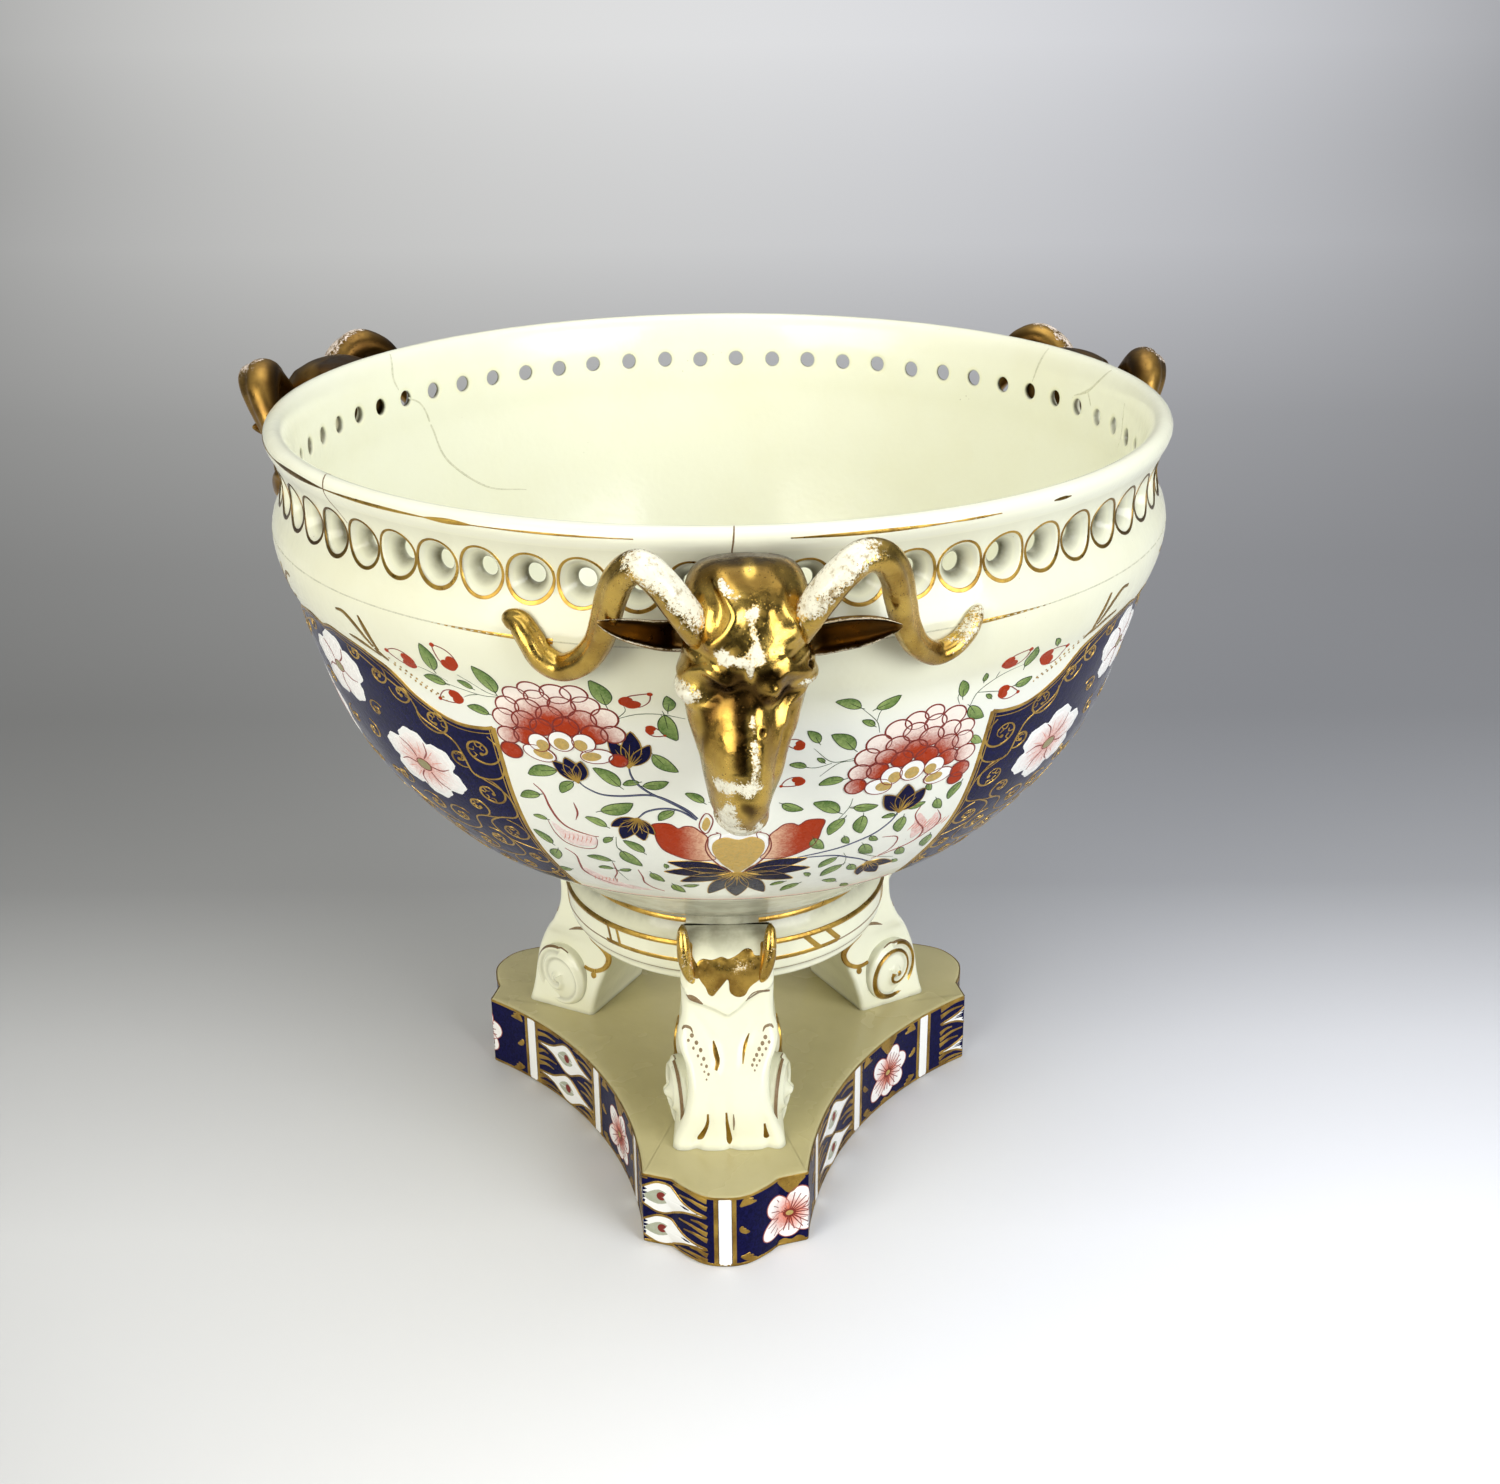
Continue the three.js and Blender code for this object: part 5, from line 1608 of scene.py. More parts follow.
def leg_ring(up):
    """One level of a leg, from the middle of its front round to the middle again."""
    front, half, back, back_half = (leg_at(up, column) for column in (FRONT, HALF, BACK, BACK_HALF))
    c, d = LEG_CORNER, LEG_BACK_CORNER
    turn = np.linspace(0, np.pi / 2, 7)[1:]
    flat = np.linspace(0, 1, 16)
    sides = np.concatenate([(half - c) * flat, half - c + c * np.sin(turn)])
    flank = np.linspace(front - c, back + d, 16)[1:]
    corner = np.stack([back + d - d * np.sin(turn), back_half - d + d * np.cos(turn)], 1)
    rear = np.stack([np.full(5, back), np.linspace(back_half - d, 0, 6)[1:]], 1)

    def half_ring(way):
        outs = leg_front(way * sides, up)
        outs[-1] = front - c
        flanks = np.stack([flank, way * leg_flank(flank, up)], 1)
        fronts = np.stack([outs, way * sides], 1)
        return np.concatenate([fronts, flanks, np.concatenate([corner, rear]) * (1, way)])

    ring = np.concatenate([half_ring(1), half_ring(-1)[::-1][1:-1]])
    return np.column_stack([ring, np.full(len(ring), up)])


def make_legs(material):
    """The three scroll legs, each with a moulded body and a snail on each flank."""
    form = Form()
    rings = np.array([leg_ring(up) for up in LEG_ROWS[:, 0]])
    ups = rings[..., 2]
    # Painted shade and grime at the toe on the plinth and at the head under the collar
    grime_and_shade = np.clip((24.2 - ups) / 3, 0, 0.5) + 0.75 * np.clip((ups - 74) / 6, 0, 1)
    form.grid(set_on(rings, LEG_TURN), grime_and_shade)
    reach = np.array([0.05, *np.arange(0.4, 9.3, 0.35), 9.45, 9.6, ROLL_RADIUS, ROLL_RADIUS + 0.03])
    drop = [0.0] * (len(reach) - 4) + [-0.1, -0.35, -0.9, -6.0]
    angle = np.linspace(0, 2 * np.pi, 96, endpoint=False)
    turn = (np.pi / 2 - angle) / (2 * np.pi) % 1
    # Painted shade where the roll's rim sinks into the leg and in the grooves of its spiral
    tint = np.array([[0.3 if low < -0.5 else 0.0] * len(angle) for low in drop])
    for lap in (0, 1):
        crest = np.interp(turn + lap, SPIRAL_TURNS, SPIRAL_REACH)
        tint += 0.4 * np.exp(-(((reach[:, None] - crest + 1.1) / 0.55) ** 2))
    for way in (-1, 1):
        rows = [on_roll(way)(circle(0, 0, r, len(angle)), low) for r, low in zip(reach, drop)]
        form.grid(rows, tint)
    nodes = ["leg_front", "leg_back_right", "leg_back_left"]
    form.repeated().build("legs", material, "ivory_glaze", 50, nodes)


def make_leaf_ears(material):
    """The two gilt ends of the leaf, which stand up against the collar on each leg."""
    form = Form()
    for way in (-1, 1):
        stations = np.array(LEAF_END) * (1, way, 1, 1)
        rows, _ = tube_rows(stations, 0.6, 20, lambda a, t: 1 + 0.16 * np.cos(2 * a))
        form.grid(set_on(rows, LEG_TURN), 0.35)
    form.repeated().build("leg_leaf_ears", material, "gilding")


def leg_mark(painting, colour, path, width, tint, end):
    """A tapered brush mark on a leg's front."""
    form = getattr(painting, colour)
    stroke(form, path, taper(width, 0.3, end), 0.0, 0.12, tint, 0.5, ground=on_leg_front)


def paint_leg(painting):
    """Gilding and brown dashes on one leg."""
    gold, brown = painting.gold, painting.brown

    def worn(p):
        return 0.25 + 0.5 * np.exp(-(((p[:, 0] - 5) / 2.4) ** 2) - ((p[:, 1] - 73.2) / 1.2) ** 2)

    def swell(t):
        return (0.6 + 1.5 * t**1.4) * np.sqrt(1 - np.clip((t - 0.8) / 0.2, 0, 0.98) ** 2)

    blot(gold, LEAF_BIB, (1.4, 71.8), 0.0, 0.16, worn, ground=on_leg_front)
    for edge in LEAF_SIDES:
        blot(gold, edge, np.mean(edge, axis=0), 0.02, 0.16, 0.2, ground=on_leg_front)
    for mark in LEG_MARKS[:-1]:
        leg_mark(painting, *mark)
    for line in LEG_DOTS:
        for k, (side, up) in enumerate(line):
            size = 0.58 - 0.04 * k
            dot(brown, side, up, size, 8, 0, 0.1, 0.5, (0.6,), on_leg_front, 0)
            dot(brown, side * 1.1, up - 1.2, size * 0.7, 8, 0, 0.1, 0.6, (0.6,), on_leg_front, 0)
    for drop in TOE_DROPS:
        stroke(gold, drop, swell, 0, 0.14, -0.3, 0.4, ground=on_leg_front)
    leg_mark(painting, *LEG_MARKS[-1])
    for way in (-1, 1):
        paint_flank(gold, brown, way)


def paint_flank(gold, brown, way):
    """The gilt hook, the line over it and the brown edge of the roll, on one side of a leg."""
    def swell(t):
        return np.interp(t, [0, 0.12, 0.3, 0.5, 0.7, 1], [0.9, 2.3, 2.5, 2.0, 1.4, 1.0])

    flank = on_leg_flank(way)
    stroke(gold, FLANK_HOOK, swell, 0.0, 0.5, 0.0, 0.5, ground=flank)
    dot(gold, 37.3, 37.4, 1.0, 10, 0.0, 0.3, 0.3, ground=flank)
    stroke(brown, FLANK_LINE, taper(1.2, 0.9, 0.2), 0.0, 0.1, 0.4, 0.5, ground=flank)
    rim = np.radians(np.linspace(112, -64, 40))
    line = 9.55 * np.stack([np.cos(rim), np.sin(rim)], 1)
    stroke(brown, line, taper(0.8, 0.4, 0.4), -0.1, 0.14, 0.2, 0.6, ground=on_roll(way))


def paint_spiral(gold):
    """The gilt spirals, which only the leg at the back on the right has kept."""
    form = Form()
    turns = np.linspace(0.02, 1.78, 60)
    reach = np.interp(turns, SPIRAL_TURNS, SPIRAL_REACH)
    angle = np.pi / 2 - 2 * np.pi * turns
    line = np.stack([reach * np.cos(angle), reach * np.sin(angle)], 1)

    def swell(t):
        return 1.0 + 0.9 * np.sin(np.pi * np.clip(1.3 * t, 0, 1))

    for way in (-1, 1):
        stroke(form, line, swell, 0.0, 0.16, 0.05, 0.6, ground=on_roll(way))
        dot(form, 0, 0, 0.9, 10, 0.0, 0.1, 0.4, ground=on_roll(way))
    gold.add(round_axis(np.concatenate(form.points), 120), form.faces, np.concatenate(form.tints))


# Collar

COLLAR = [
    (30, 61.5), (38.2, 61.5), (39.6, 62.3), (41.9, 63.4), (42.8, 64.4), (43.0, 65.6), (43.4, 66.5),
    (44.4, 67.2), (44.9, 68.4), (45.2, 70), (45.35, 72.5), (45.5, 75.0), (45.7, 75.9), (45.3, 76.6),
    (44.2, 77.1), (43, 78.2), (42.1, 79.6), (41.5, 81.2), (41.1, 82.8), (40.9, 84.2), (30, 84.3),
]
COLLAR_ROWS = resampled(COLLAR, 0.45)
COLLAR_PER_DEGREE = 0.79
COLLAR_OUTLINE = COLLAR_ROWS[COLLAR_ROWS[:, 0] > 38]
COLLAR_TABLES = (COLLAR_OUTLINE[:, 1], *profile_tables(COLLAR_OUTLINE)[1:])
# The lines of the frame: colour, from and to bearings, height, width and tint
COLLAR_LINES = [
    ("gold", 13, 108, 76.1, 1.5, 0.0), ("gold", 13, 108, 81.2, 1.4, 0.1),
    ("brown", 13, 108, 66.9, 0.7, 0.2), ("gold", 13, 45, 70.9, 1.4, 0.05),
    ("gold", 75, 109, 70.9, 1.4, 0.05), ("brown", 43, 78, 70.7, 0.5, 0.6),
]
# The bars across it: their bearings at the top, in the middle and at the foot, and their width
COLLAR_BARS = [
    ((28.6, 31.6, 34.6), 1.7), ((37.6, 40.7, 43.8), 1.7), ((76.0, 76.6, 77.2), 1.1),
    ((80.2, 80.8, 81.4), 1.1),
]


def on_collar(chart, lift):
    """Distance round the collar from the front, and height."""
    return over_profile(COLLAR_TABLES, chart[..., 1], chart[..., 0] / COLLAR_PER_DEGREE, lift)


def make_collar(material):
    """The moulded collar, with painted shade and soiling at its neck under the bowl, and darker in its
    lower groove.
    """
    bearings = np.arange(0, 360, 1.5)
    rows = [polar(r, bearings, up) for r, up in COLLAR_ROWS]
    ups = COLLAR_ROWS[:, 1]
    grime_and_shade = np.clip((ups - 76.8) / 5, 0, 0.8) + 0.35 * np.exp(-(((ups - 66.2) / 0.7) ** 2))
    tints = np.repeat(grime_and_shade[:, None], len(bearings), 1)
    skin(rows, tints, "collar", material, "ivory_glaze", ["stand_collar"], 60)


def paint_collar(painting):
    """The gilt frame of the collar between one leg and the next."""
    def line(form, places, width, tint):
        path = [(bearing * COLLAR_PER_DEGREE, up) for bearing, up in places]
        stroke(form, path, width, 0.0, 0.1, tint, 1.0, ground=on_collar)

    for colour, start, end, up, width, tint in COLLAR_LINES:
        line(getattr(painting, colour), [(b, up) for b in np.arange(start, end, 3)], width, tint)
    for bearings, width in COLLAR_BARS:
        line(painting.gold, zip(bearings, (76, 73.4, 71)), width, 0.15)


# Plinth

PLINTH_TOP = 22.6
BAND_ROWS = 12
LOBE_FRONT = [(82.2, 0), (81.2, 5.5), (77.6, 10.6), (73.8, 14.2)]
LOBE_CORNER = (71.3, 22.0)
SIDE_RADIUS, SIDE_CENTRE = 121.6, 165.2
PANEL_EACH = 35.0
# The slab's softened edge: how far in and how high
SLAB_EDGE = (
    (0.9, 0.0), (0.3, 0.1), (0, 0.6), (0, 11), (0, 21.7), (0.1, 22.1), (0.35, 22.45), (0.9, PLINTH_TOP),
)
# The half of a lozenge that bows up: along its half length and up its half height
LOZENGE_BOW = [(1.0, -0.12), (0.72, 0.10), (0.5, 0.30), (0.28, 0.68), (0.1, 0.96)]
# The gilt feathers beside the lozenges: where each starts along the half panel, and its two heights
FEATHERS = [
    (0.26, 21.2, 20.8), (0.42, 19.2, 18.4), (0.70, 13.2, 12.4), (0.40, 11.4, 10.2), (0.52, 8.9, 8.2),
    (0.66, 4.0, 3.4), (0.36, 1.9, 1.6),
]
# A blossom's petals: the way each points, its length and its width
PETALS = ((12, 9.2, 7.0), (268, 7.6, 7.4), (322, 8.8, 6.6), (60, 8.8, 6.8), (212, 10.2, 6.6),
    (142, 8.8, 7.2))
# The gilt scallop at the top of a flower's panel and the wave at its foot, from the flower's middle
SCALLOP = [(-3.4, 21.8), (-2.2, 19.2), (-0.4, 17.2), (1.4, 17.4), (2.8, 19.4), (4.4, 21.8)]
WAVE = [(-3.4, 1.2), (-1.6, 2.6), (0.6, 1.8), (2.6, 2.7), (4.4, 1.2)]


def plinth_edge():
    """The plinth's outline in small even steps: places along it, points, outward ways and its length."""
    front = smooth_line([(81.2, -5.5), *LOBE_FRONT], 12)[12:]
    lobe = np.vstack([front, LOBE_CORNER])
    half_step = math.radians(60)
    depth = LOBE_CORNER[0] * math.cos(half_step) + LOBE_CORNER[1] * math.sin(half_step)
    reach = math.acos((SIDE_CENTRE - depth) / SIDE_RADIUS)
    angle = np.linspace(-reach, reach, 60)[1:-1]
    side = np.stack([SIDE_CENTRE - SIDE_RADIUS * np.cos(angle), SIDE_RADIUS * np.sin(angle)], 1)
    pieces = ((lobe, 0), (side, 60), (lobe[::-1] * (1, -1), 120))
    third = np.vstack([set_on(np.column_stack([p, np.zeros(len(p))]), turn) for p, turn in pieces])[:-1]
    outline = np.vstack([round_axis(third, 120 * k) for k in range(PANELS)])
    outline = np.vstack([outline, outline[:1]])[:, :2]
    length = lengths(outline)[-1]
    places = np.arange(0, length, 0.5)
    points = spaced(outline, places)
    return places, points, -beside(directions(points, closed=True)), length


EDGE_PLACES, EDGE_POINTS, EDGE_WAYS, EDGE_ROUND = plinth_edge()
EDGE_THIRD = EDGE_ROUND / PANELS


def on_plinth(chart, lift):
    """Distance round the plinth's edge from the front, and height."""
    place = chart[..., 0] % EDGE_ROUND
    x, y, way_x, way_y = (
        np.interp(place, EDGE_PLACES, table, period=EDGE_ROUND) for table in (*EDGE_POINTS.T, *EDGE_WAYS.T)
    )
    return np.stack([x + way_x * lift, y + way_y * lift, chart[..., 1] + 0 * x], -1)


def make_plinth(material):
    """The three-lobed slab with a softened edge."""
    rows = []
    for inset, up in SLAB_EDGE:
        rows.append(np.column_stack([EDGE_POINTS - EDGE_WAYS * inset, np.full(len(EDGE_POINTS), up)]))
    rows += [rows[-1] * (share, share, 1) for share in (0.96, 0.9, 0.8, 0.65, 0.45, 0.2)]
    skin(rows, 0.0, "plinth_slab", material, "khaki_glaze", ["plinth"], 50)


def edge_stroke(form, path, width, base, rise, tint=0.0, closed=False):
    """A brush stroke on the plinth's edge."""
    stroke(form, path, width, base, rise, tint, 0.45, closed, on_plinth)


def feather_width(t):
    """The width of a gilt feather, which broadens to its end."""
    return 0.5 + 1.3 * t**1.2


def lozenge(x, half, middle, high):
    """A lozenge's outline, anticlockwise from its left."""
    edge = []
    for way in (1, -1):
        for along, rise in LOZENGE_BOW:
            fall = rise + (0.14 if along == 1 else 0.12)
            place = x + way * half * along
            edge += [(place, middle + high * rise), (place, middle - high * fall)]
    return sorted(edge, key=lambda p: math.atan2((p[1] - middle) / high, (p[0] - x) / half))


def paint_lozenges(painting, x, half):
    """Two white lozenges one above the other, with gilt feathers towards both ends of the panel."""
    for middle, high in ((16.0, 4.6), (5.6, 4.3)):
        outline = lozenge(x, half, middle, high)
        blot(painting.white, outline, (x, middle), 0.09, 0.05, 0.0, ground=on_plinth, smooth=3)
        edge_stroke(painting.gold, outline, 0.75, 0.11, 0.07, closed=True)
        patch = [
            (x - 5.0, middle - 0.5), (x - 1.0, middle - high * 0.55), (x + 3.2, middle - 0.4),
            (x - 0.6, middle + high * 0.5),
        ]
        blot(painting.sage, patch, (x - 0.6, middle), 0.125, 0.03, 0.3, ground=on_plinth)
        dot(painting.outline, x, middle + 0.2, 1.35, 10, 0.15, 0.04, -0.1, ground=on_plinth)
    for way in (-1, 1):
        for share, start_up, end_up in FEATHERS:
            start, end = x + way * half * share, x + way * (half + 0.6)
            path = [(start, start_up), ((start + end) / 2, (start_up + end_up) / 2 + 0.5), (end, end_up)]
            edge_stroke(painting.gold, path, feather_width, 0.09, 0.07)


def paint_blossom(painting, x, y):
    """A white flower that blushes to its middle."""
    centre = np.array([x, y])
    for k, (angle, length, width) in enumerate(PETALS):
        way = heading(angle)
        middle = centre + way * length * 0.54
        edge = circle(*middle, length * 0.47, 18, width / length, angle)
        lift = 0.09 + 0.008 * k

        def blush(p):
            return np.clip(1.15 - (p - centre) @ way / length * 1.5, 0, 1)

        blot(painting.pink, edge, middle, lift, 0.04, blush, (0.2, 0.4, 0.6, 0.8, 0.92), on_plinth, 2)
        edge_stroke(painting.outline, edge, 0.3, lift + 0.03, 0.03, 0.7, closed=True)
        for aside in (-16, 0, 16):
            vein = heading(angle + aside)
            path = [centre + vein * 1.4, centre + vein * length * 0.5, centre + vein * length * 0.74]
            edge_stroke(painting.outline, path, taper(0.4, 0.9, 0.1, 0.2), 0.17, 0.03, 0.0)
    dot(painting.outline, x, y, 1.9, 14, 0.19, 0.05, 0.0, squash=0.72, ground=on_plinth)
    dot(painting.ochre, x, y + 0.1, 1.1, 12, 0.22, 0.05, 0.5, squash=0.7, ground=on_plinth)


def paint_flower_panel(painting, x, left, right):
    """A blossom, gilt sprigs in its panel's corners, and gilt edges over and under it."""
    paint_blossom(painting, x, 10.6)
    gold = painting.gold
    for shape, centre in ((SCALLOP, (x + 0.4, 20.4)), (WAVE, (x + 0.6, 1.7))):
        edge = [(x + aside, up) for aside, up in shape]
        blot(gold, edge, centre, 0.09, 0.07, 0.1, ground=on_plinth, smooth=3)
    for corner, way in ((left, 1), (right, -1)):
        root = corner + way * 0.9
        for up, rise in ((19.4, 1), (3.2, -1), (11.4, 0)):
            reach = 5.6 if rise else 3.4
            for k, lean in enumerate((-20, 14, 46)):
                tip_x = corner + way * (reach - k)
                tip_up = up + rise + math.sin(math.radians(lean)) * 2.2
                path = [(root, up), ((root + tip_x) / 2, (up + tip_up) / 2 + 0.4 * rise), (tip_x, tip_up)]
                edge_stroke(gold, path, taper(1.5, 0.4, 0.3, 0.6), 0.09, 0.07, 0.1)


def paint_plinth(painting):
    """A third of the plinth's edge: cobalt, white bars edged with gold, flowers and lozenges by turns."""
    xs = np.arange(0, EDGE_THIRD + 0.5, 0.5)
    ups = [0.35, *np.linspace(0.6, 21.7, BAND_ROWS), 22.0]
    lifts = [SUNK, *[0.08] * BAND_ROWS, SUNK]
    rows = [on_plinth(np.stack([xs, np.full(len(xs), up)], 1), lift) for up, lift in zip(ups, lifts)]
    painting.cobalt.grid(rows, 0.5, wrap=False, caps=False)
    side = EDGE_THIRD / 2
    for x in (0.0, side - PANEL_EACH, side, side + PANEL_EACH):
        bar = resampled([(x, 0.8), (x, 11), (x, 21.9)], 1)
        edge_stroke(painting.white, bar, 3.7, 0.10, 0.05)
        for aside in (-2.4, 2.4):
            edge_stroke(painting.gold, [(x + aside, up) for up in (0.6, 8, 15, 22.0)], 1.25, 0.09, 0.09)
    for up, width in ((22.0, 0.8), (0.9, 0.9)):
        line = [(x, up) for x in np.arange(0, EDGE_THIRD + 1, 1.5)]
        edge_stroke(painting.gold, line, width, 0.05, 0.09, 0.1)
    paint_flower_panel(painting, 20.0, 3.2, side - PANEL_EACH - 3.2)
    paint_lozenges(painting, side - PANEL_EACH / 2, 14.0)
    paint_flower_panel(painting, side + PANEL_EACH / 2, side + 3.2, side + PANEL_EACH - 3.2)
    paint_lozenges(painting, EDGE_THIRD - 20.0, 14.6)


# Stage

# The floor's painted shading for the camera by depth, from the front edge of the picture to the far end
FLOOR_STOPS = (
    (0.0, 0.90), (0.12, 0.86), (0.2, 0.65), (0.27, 0.36), (0.35, 0.28), (0.43, 0.31), (0.52, 0.39),
    (0.66, 0.61), (0.95, 0.75),
)
FLOOR_GLOW = 1.0
PAPER = (0.6, 0.6, 0.6)
PAPER_END = (0.05, 0.05, 0.05)
# Where the paper ends for other rays, to the front and to the left, in metres
PAPER_FRONT = (-0.36, -0.24)
PAPER_LEFT = (-0.16, -0.26)
WORLD_LOW_HIGH = (0.12, 0.5)
CAMERA_PLACE = (7.4, -478.5, 325.3)
CAMERA_LENS = 44.93
CAMERA_PITCH, CAMERA_ROLL = 23.7, -0.42
WINDOW_SIZE = (0.85, 0.9)
BOWL_MIDDLE = (0, 0, 0.15)


def floor_level(n, depth, aside):
    """The floor's painted shading for the camera: a ramp by depth, leaning to one side and darker at both.
    """
    ramp = n.add("ShaderNodeValToRGB")
    n.link(depth, ramp.inputs["Fac"])
    elements = ramp.color_ramp.elements
    while len(elements) < len(FLOOR_STOPS):
        elements.new(0.5)
    for element, (place, level) in zip(elements, FLOOR_STOPS):
        element.position = place
        element.color = (level, level, level, 1)
    near = n.stretch(depth, 0.2, 0.55, 1, 0)
    lean = n.plus(1.0, n.times(aside, near, 0.38))
    edge = n.calc("MINIMUM", n.times(aside, aside, n.stretch(depth, 0.3, 0.8, 0.6, 3.0)), 0.62)
    return n.mix(1.0, ramp.outputs["Color"], n.times(lean, n.calc("SUBTRACT", 1.0, edge)), "MULTIPLY")


def make_floor():
    """White paper, whose colour for the camera is painted shading that runs from near white in front to a
    cool grey behind.

    Other rays see plain paper that ends a little before the picture does. Far off, where the lamps no
    longer reach, the camera's colour is lit by itself.
    """
    bpy.ops.mesh.primitive_circle_add(vertices=96, radius=30, fill_type="NGON", location=(0, 0, 0))
    floor = bpy.context.object
    floor.name = "floor"
    n = Nodes(bpy.data.materials.new("floor_paper"))
    x, y = n.axes()[:2]
    away = n.calc("MAXIMUM", n.plus(y, 0.35), 0.05)
    depth = n.stretch(n.calc("LOGARITHM", away, math.e), -1.7, 1.9, kind="LINEAR")
    aside = n.calc("DIVIDE", x, n.plus(away, 0.13))
    aside = n.calc("MAXIMUM", n.calc("MINIMUM", aside, 0.9), -0.9)
    hue = n.mix(n.stretch(aside, -0.25, 0.3), (1.0, 1.0, 0.985), (0.955, 0.968, 1.02))
    seen = n.mix(1.0, floor_level(n, depth, aside), hue, "MULTIPLY")
    own = n.stretch(depth, 0.28, 0.56)
    ray = n.add("ShaderNodeLightPath").outputs["Is Camera Ray"]
    reach = n.calc("MAXIMUM", n.stretch(y, *PAPER_FRONT), n.stretch(x, *PAPER_LEFT))
    paper = n.mix(ray, n.mix(reach, PAPER_END, PAPER), n.mix(own, seen, (0.0, 0.0, 0.0)))
    # A painted glow for the camera far off, where the lamps no longer reach
    glow = n.times(own, ray, FLOOR_GLOW)
    n.surface(paper, 0.8, Specular_IOR_Level=0.0, Emission_Color=seen, Emission_Strength=glow)
    floor.data.materials.append(n.owner)


def make_world():
    """A dim room, dark where the photographer stands and brighter overhead."""
    world = bpy.data.worlds.new("studio")
    bpy.context.scene.world = world
    n = Nodes(world, "Generated")
    _, y, z = n.axes()
    strength = n.times(n.stretch(z, 0.15, 0.8, *WORLD_LOW_HIGH), n.stretch(y, -0.75, 0.1, 0.25, 1.0))
    background = n.fill(n.add("ShaderNodeBackground"), Color=(0.95, 0.98, 1.0), Strength=strength)
    n.fill(n.add("ShaderNodeOutputWorld"), Surface=background.outputs[0])


def placed(name, data):
    """A new object of its own in the scene."""
    holder = bpy.data.objects.new(name, data)
    bpy.context.scene.collection.objects.link(holder)
    return holder


def make_light(name, place, target, size, power, colour=(1, 1, 1)):
    """A soft rectangular lamp that faces a target."""
    lamp = bpy.data.lights.new(name, "AREA")
    lamp.shape = "RECTANGLE"
    lamp.size, lamp.size_y = size
    lamp.energy = power
    lamp.color = colour
    holder = placed(name, lamp)
    holder.location = place
    holder.rotation_euler = (Vector(target) - Vector(place)).to_track_quat("-Z", "Y").to_euler()


def make_lights():
    """Two windows beside the photographer, the left one warmer, and a weak light from above."""
    make_light("left_window", (-0.78, -1.0, 0.62), BOWL_MIDDLE, WINDOW_SIZE, 13.6, (1.0, 0.975, 0.90))
    make_light("right_window", (0.92, -0.88, 0.62), BOWL_MIDDLE, WINDOW_SIZE, 16.6, (0.96, 0.98, 1.02))
    make_light("ceiling", (0.1, 0.1, 1.7), (0, 0, 0.1), (1.5, 1.2), 10.9)


def make_camera():
    """The photograph's camera: close, above the rim, looking down at the front."""
    camera = bpy.data.cameras.new("camera")
    camera.sensor_width = 36
    camera.lens = CAMERA_LENS
    holder = placed("camera", camera)
    pitch, roll = math.radians(CAMERA_PITCH), math.radians(CAMERA_ROLL)
    forward = Vector((0, math.cos(pitch), -math.sin(pitch)))
    right = Vector((1, 0, 0))
    up = right.cross(forward)
    tilted = right * math.cos(roll) + up * math.sin(roll)
    over = up * math.cos(roll) - right * math.sin(roll)
    turn = Matrix((tilted, over, -forward)).transposed().to_4x4()
    holder.matrix_world = Matrix.Translation(Vector(CAMERA_PLACE) * MM) @ turn
    bpy.context.scene.camera = holder


# Bright and dark tones of the gilding on the lines, the back heads and the ears
LINE_GOLD = ((0.60, 0.38, 0.08), (0.30, 0.17, 0.035))
BACK_GOLD = ((0.44, 0.26, 0.06), (0.20, 0.11, 0.03))
# The ears' gold is darker for old gilding and for painted shade
EAR_GOLD = ((0.36, 0.22, 0.06), (0.10, 0.05, 0.015))


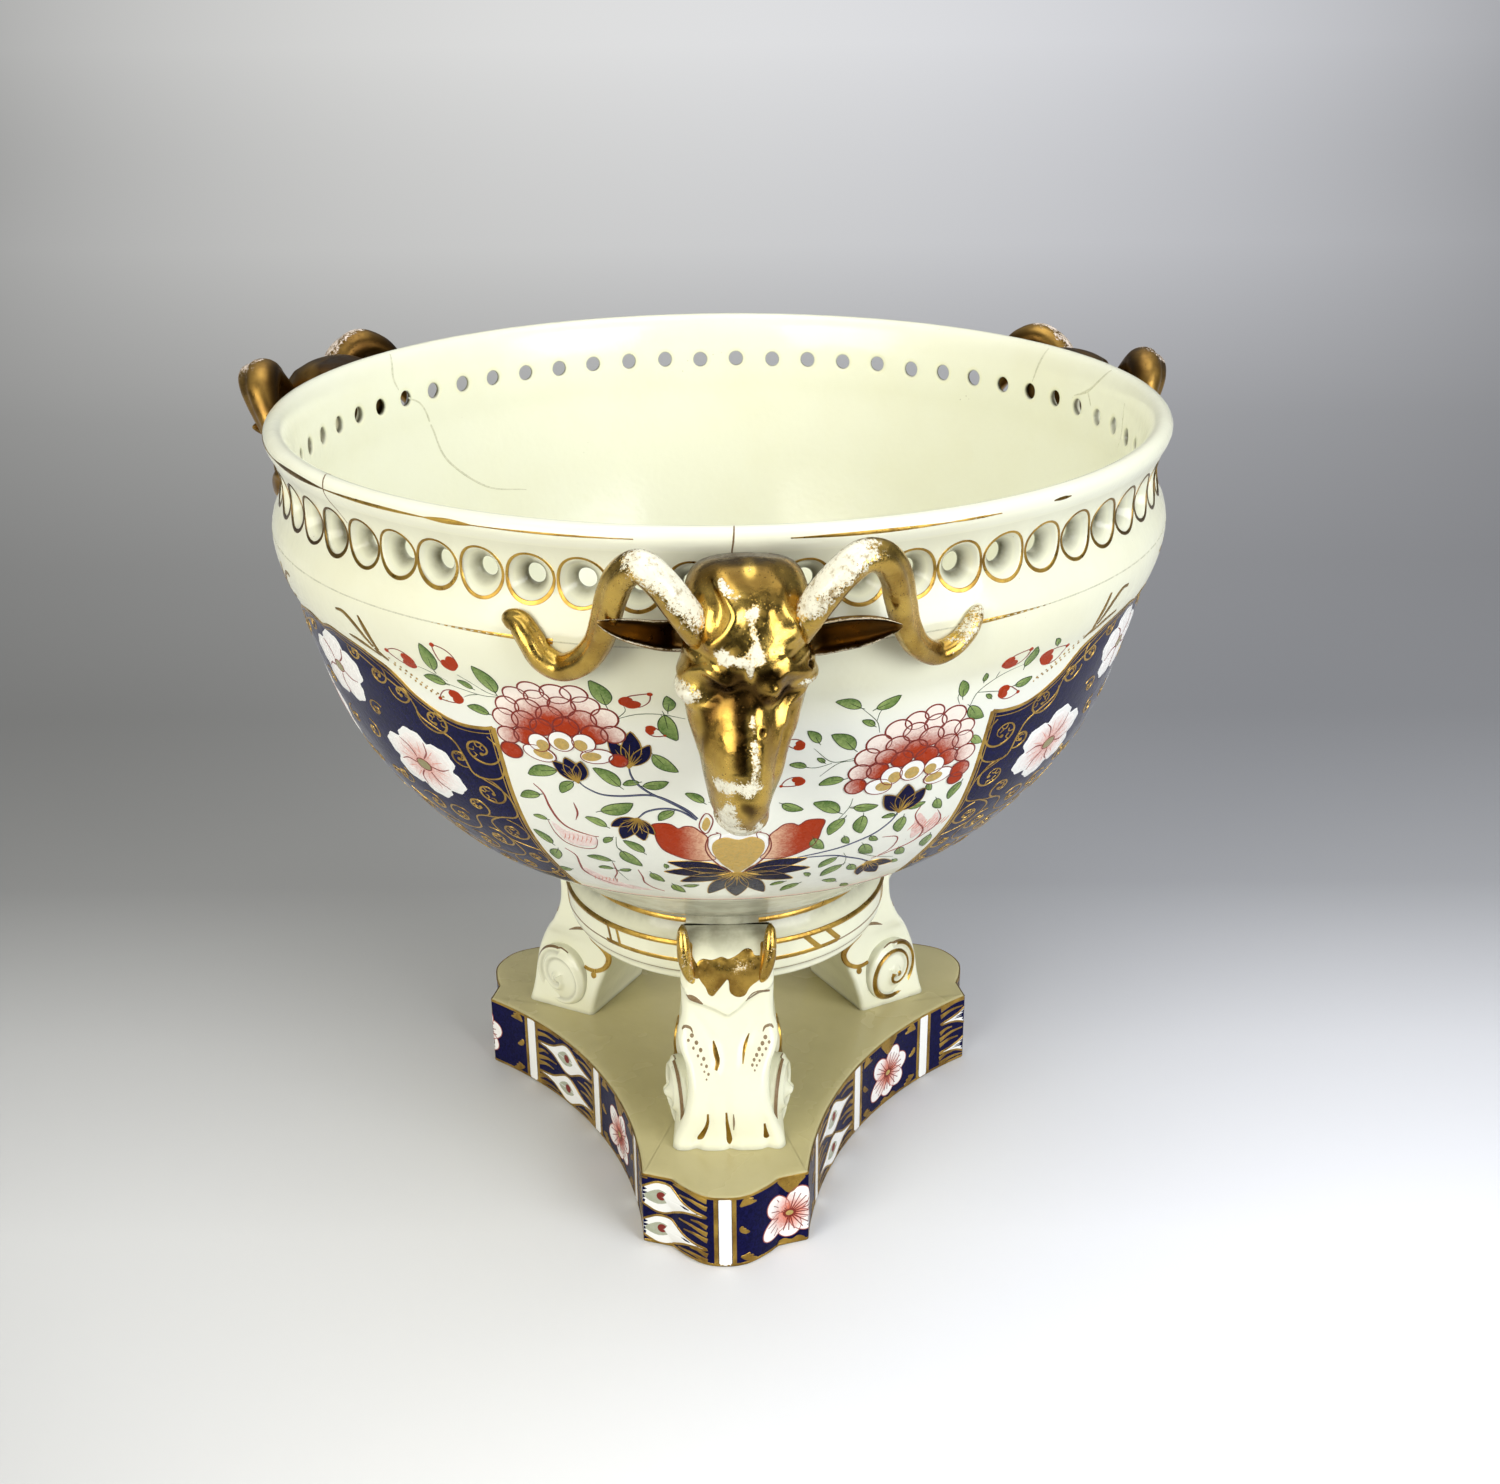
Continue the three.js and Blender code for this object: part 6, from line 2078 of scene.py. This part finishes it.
def make_looks():
    """The material of each colour of the painted pattern."""
    return {
        "cobalt": enamel("cobalt_blue", (0.006, 0.006, 0.060), (0.002, 0.002, 0.020), 0.12, 0.4, 0.08),
        "gold": gilt("gilding_line", (0.80, 0.76, 0.60), 0.1, 0.34, 420, *LINE_GOLD),
        "red": enamel("iron_red", (0.90, 0.66, 0.44), (0.38, 0.034, 0.003), 0.22, 0.12, 0.12),
        "rose": enamel("rose_petal", (0.93, 0.83, 0.74), (0.38, 0.034, 0.004), 0.22, 0.12, 0.12),
        "pink": enamel("pink_wash", (0.92, 0.90, 0.86), (0.66, 0.17, 0.10), 0.2, 0.12),
        "white": enamel("white_enamel", (0.90, 0.90, 0.86), (0.82, 0.80, 0.72), 0.15),
        "green": enamel("leaf_green", (0.30, 0.40, 0.12), (0.05, 0.125, 0.016), 0.2, 0.2),
        "green_line": enamel("leaf_green_line", (0.10, 0.16, 0.05), (0.015, 0.035, 0.008), 0.22),
        "outline": enamel("red_brown_line", (0.20, 0.022, 0.014), (0.44, 0.12, 0.09), 0.25, 0.2),
        "ochre": enamel("ochre_wash", (0.62, 0.40, 0.10), (0.28, 0.25, 0.11), 0.22, 0.2),
        "slate": enamel("slate_wash", (0.022, 0.025, 0.07), (0.011, 0.012, 0.036), 0.2, 0.3, 0.12),
        "slate_pale": enamel("slate_pale", (0.15, 0.17, 0.26), (0.10, 0.12, 0.18), 0.2),
        "brown": enamel("brown_line", (0.17, 0.10, 0.04), (0.34, 0.27, 0.17), 0.3, 0.2),
        # The crack colour also draws the ledge's painted shadow line
        "hair": enamel("hair_crack_and_ledge_shadow", (0.70, 0.69, 0.52), (0.40, 0.40, 0.27), 0.2, 0.25),
        "sage": enamel("sage_wash", (0.42, 0.44, 0.33), (0.34, 0.36, 0.26), 0.2, 0.2),
    }


def dress_cement(node):
    """The joint under the bowl keeps its solid, with a brown, matt look."""
    cement = enamel("cement", (0.20, 0.13, 0.06), (0.10, 0.06, 0.03), 0.6)
    node.data.materials.clear()
    node.data.materials.append(cement)
    smoothed(node.data, 35)


def main():
    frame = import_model()
    bpy.context.scene.view_settings.view_transform = "Standard"
    make_camera()
    make_world()
    make_floor()
    make_lights()
    ivory = glaze("ivory_glaze", IVORY, IVORY_SHADE)
    khaki = glaze("khaki_glaze", KHAKI, KHAKI_SHADE, 0.2)
    gold = gilt("gilding_head", (0.81, 0.78, 0.62), 0.35, 0.25, 260)
    back_gold = gilt("gilding_back", (0.80, 0.68, 0.58), 0.5, 0.38, 200, *BACK_GOLD)
    ear_gold = gilt("gilding_ear", (0.84, 0.76, 0.56), 0.3, 0.34, 260, *EAR_GOLD)
    dress_cement(frame["nodes"]["foot_cement"])
    make_bowl(ivory)
    make_rams(gold, ear_gold, back_gold)
    make_legs(ivory)
    make_leaf_ears(gold)
    make_collar(ivory)
    make_plinth(khaki)
    make_painting(make_looks())


main()
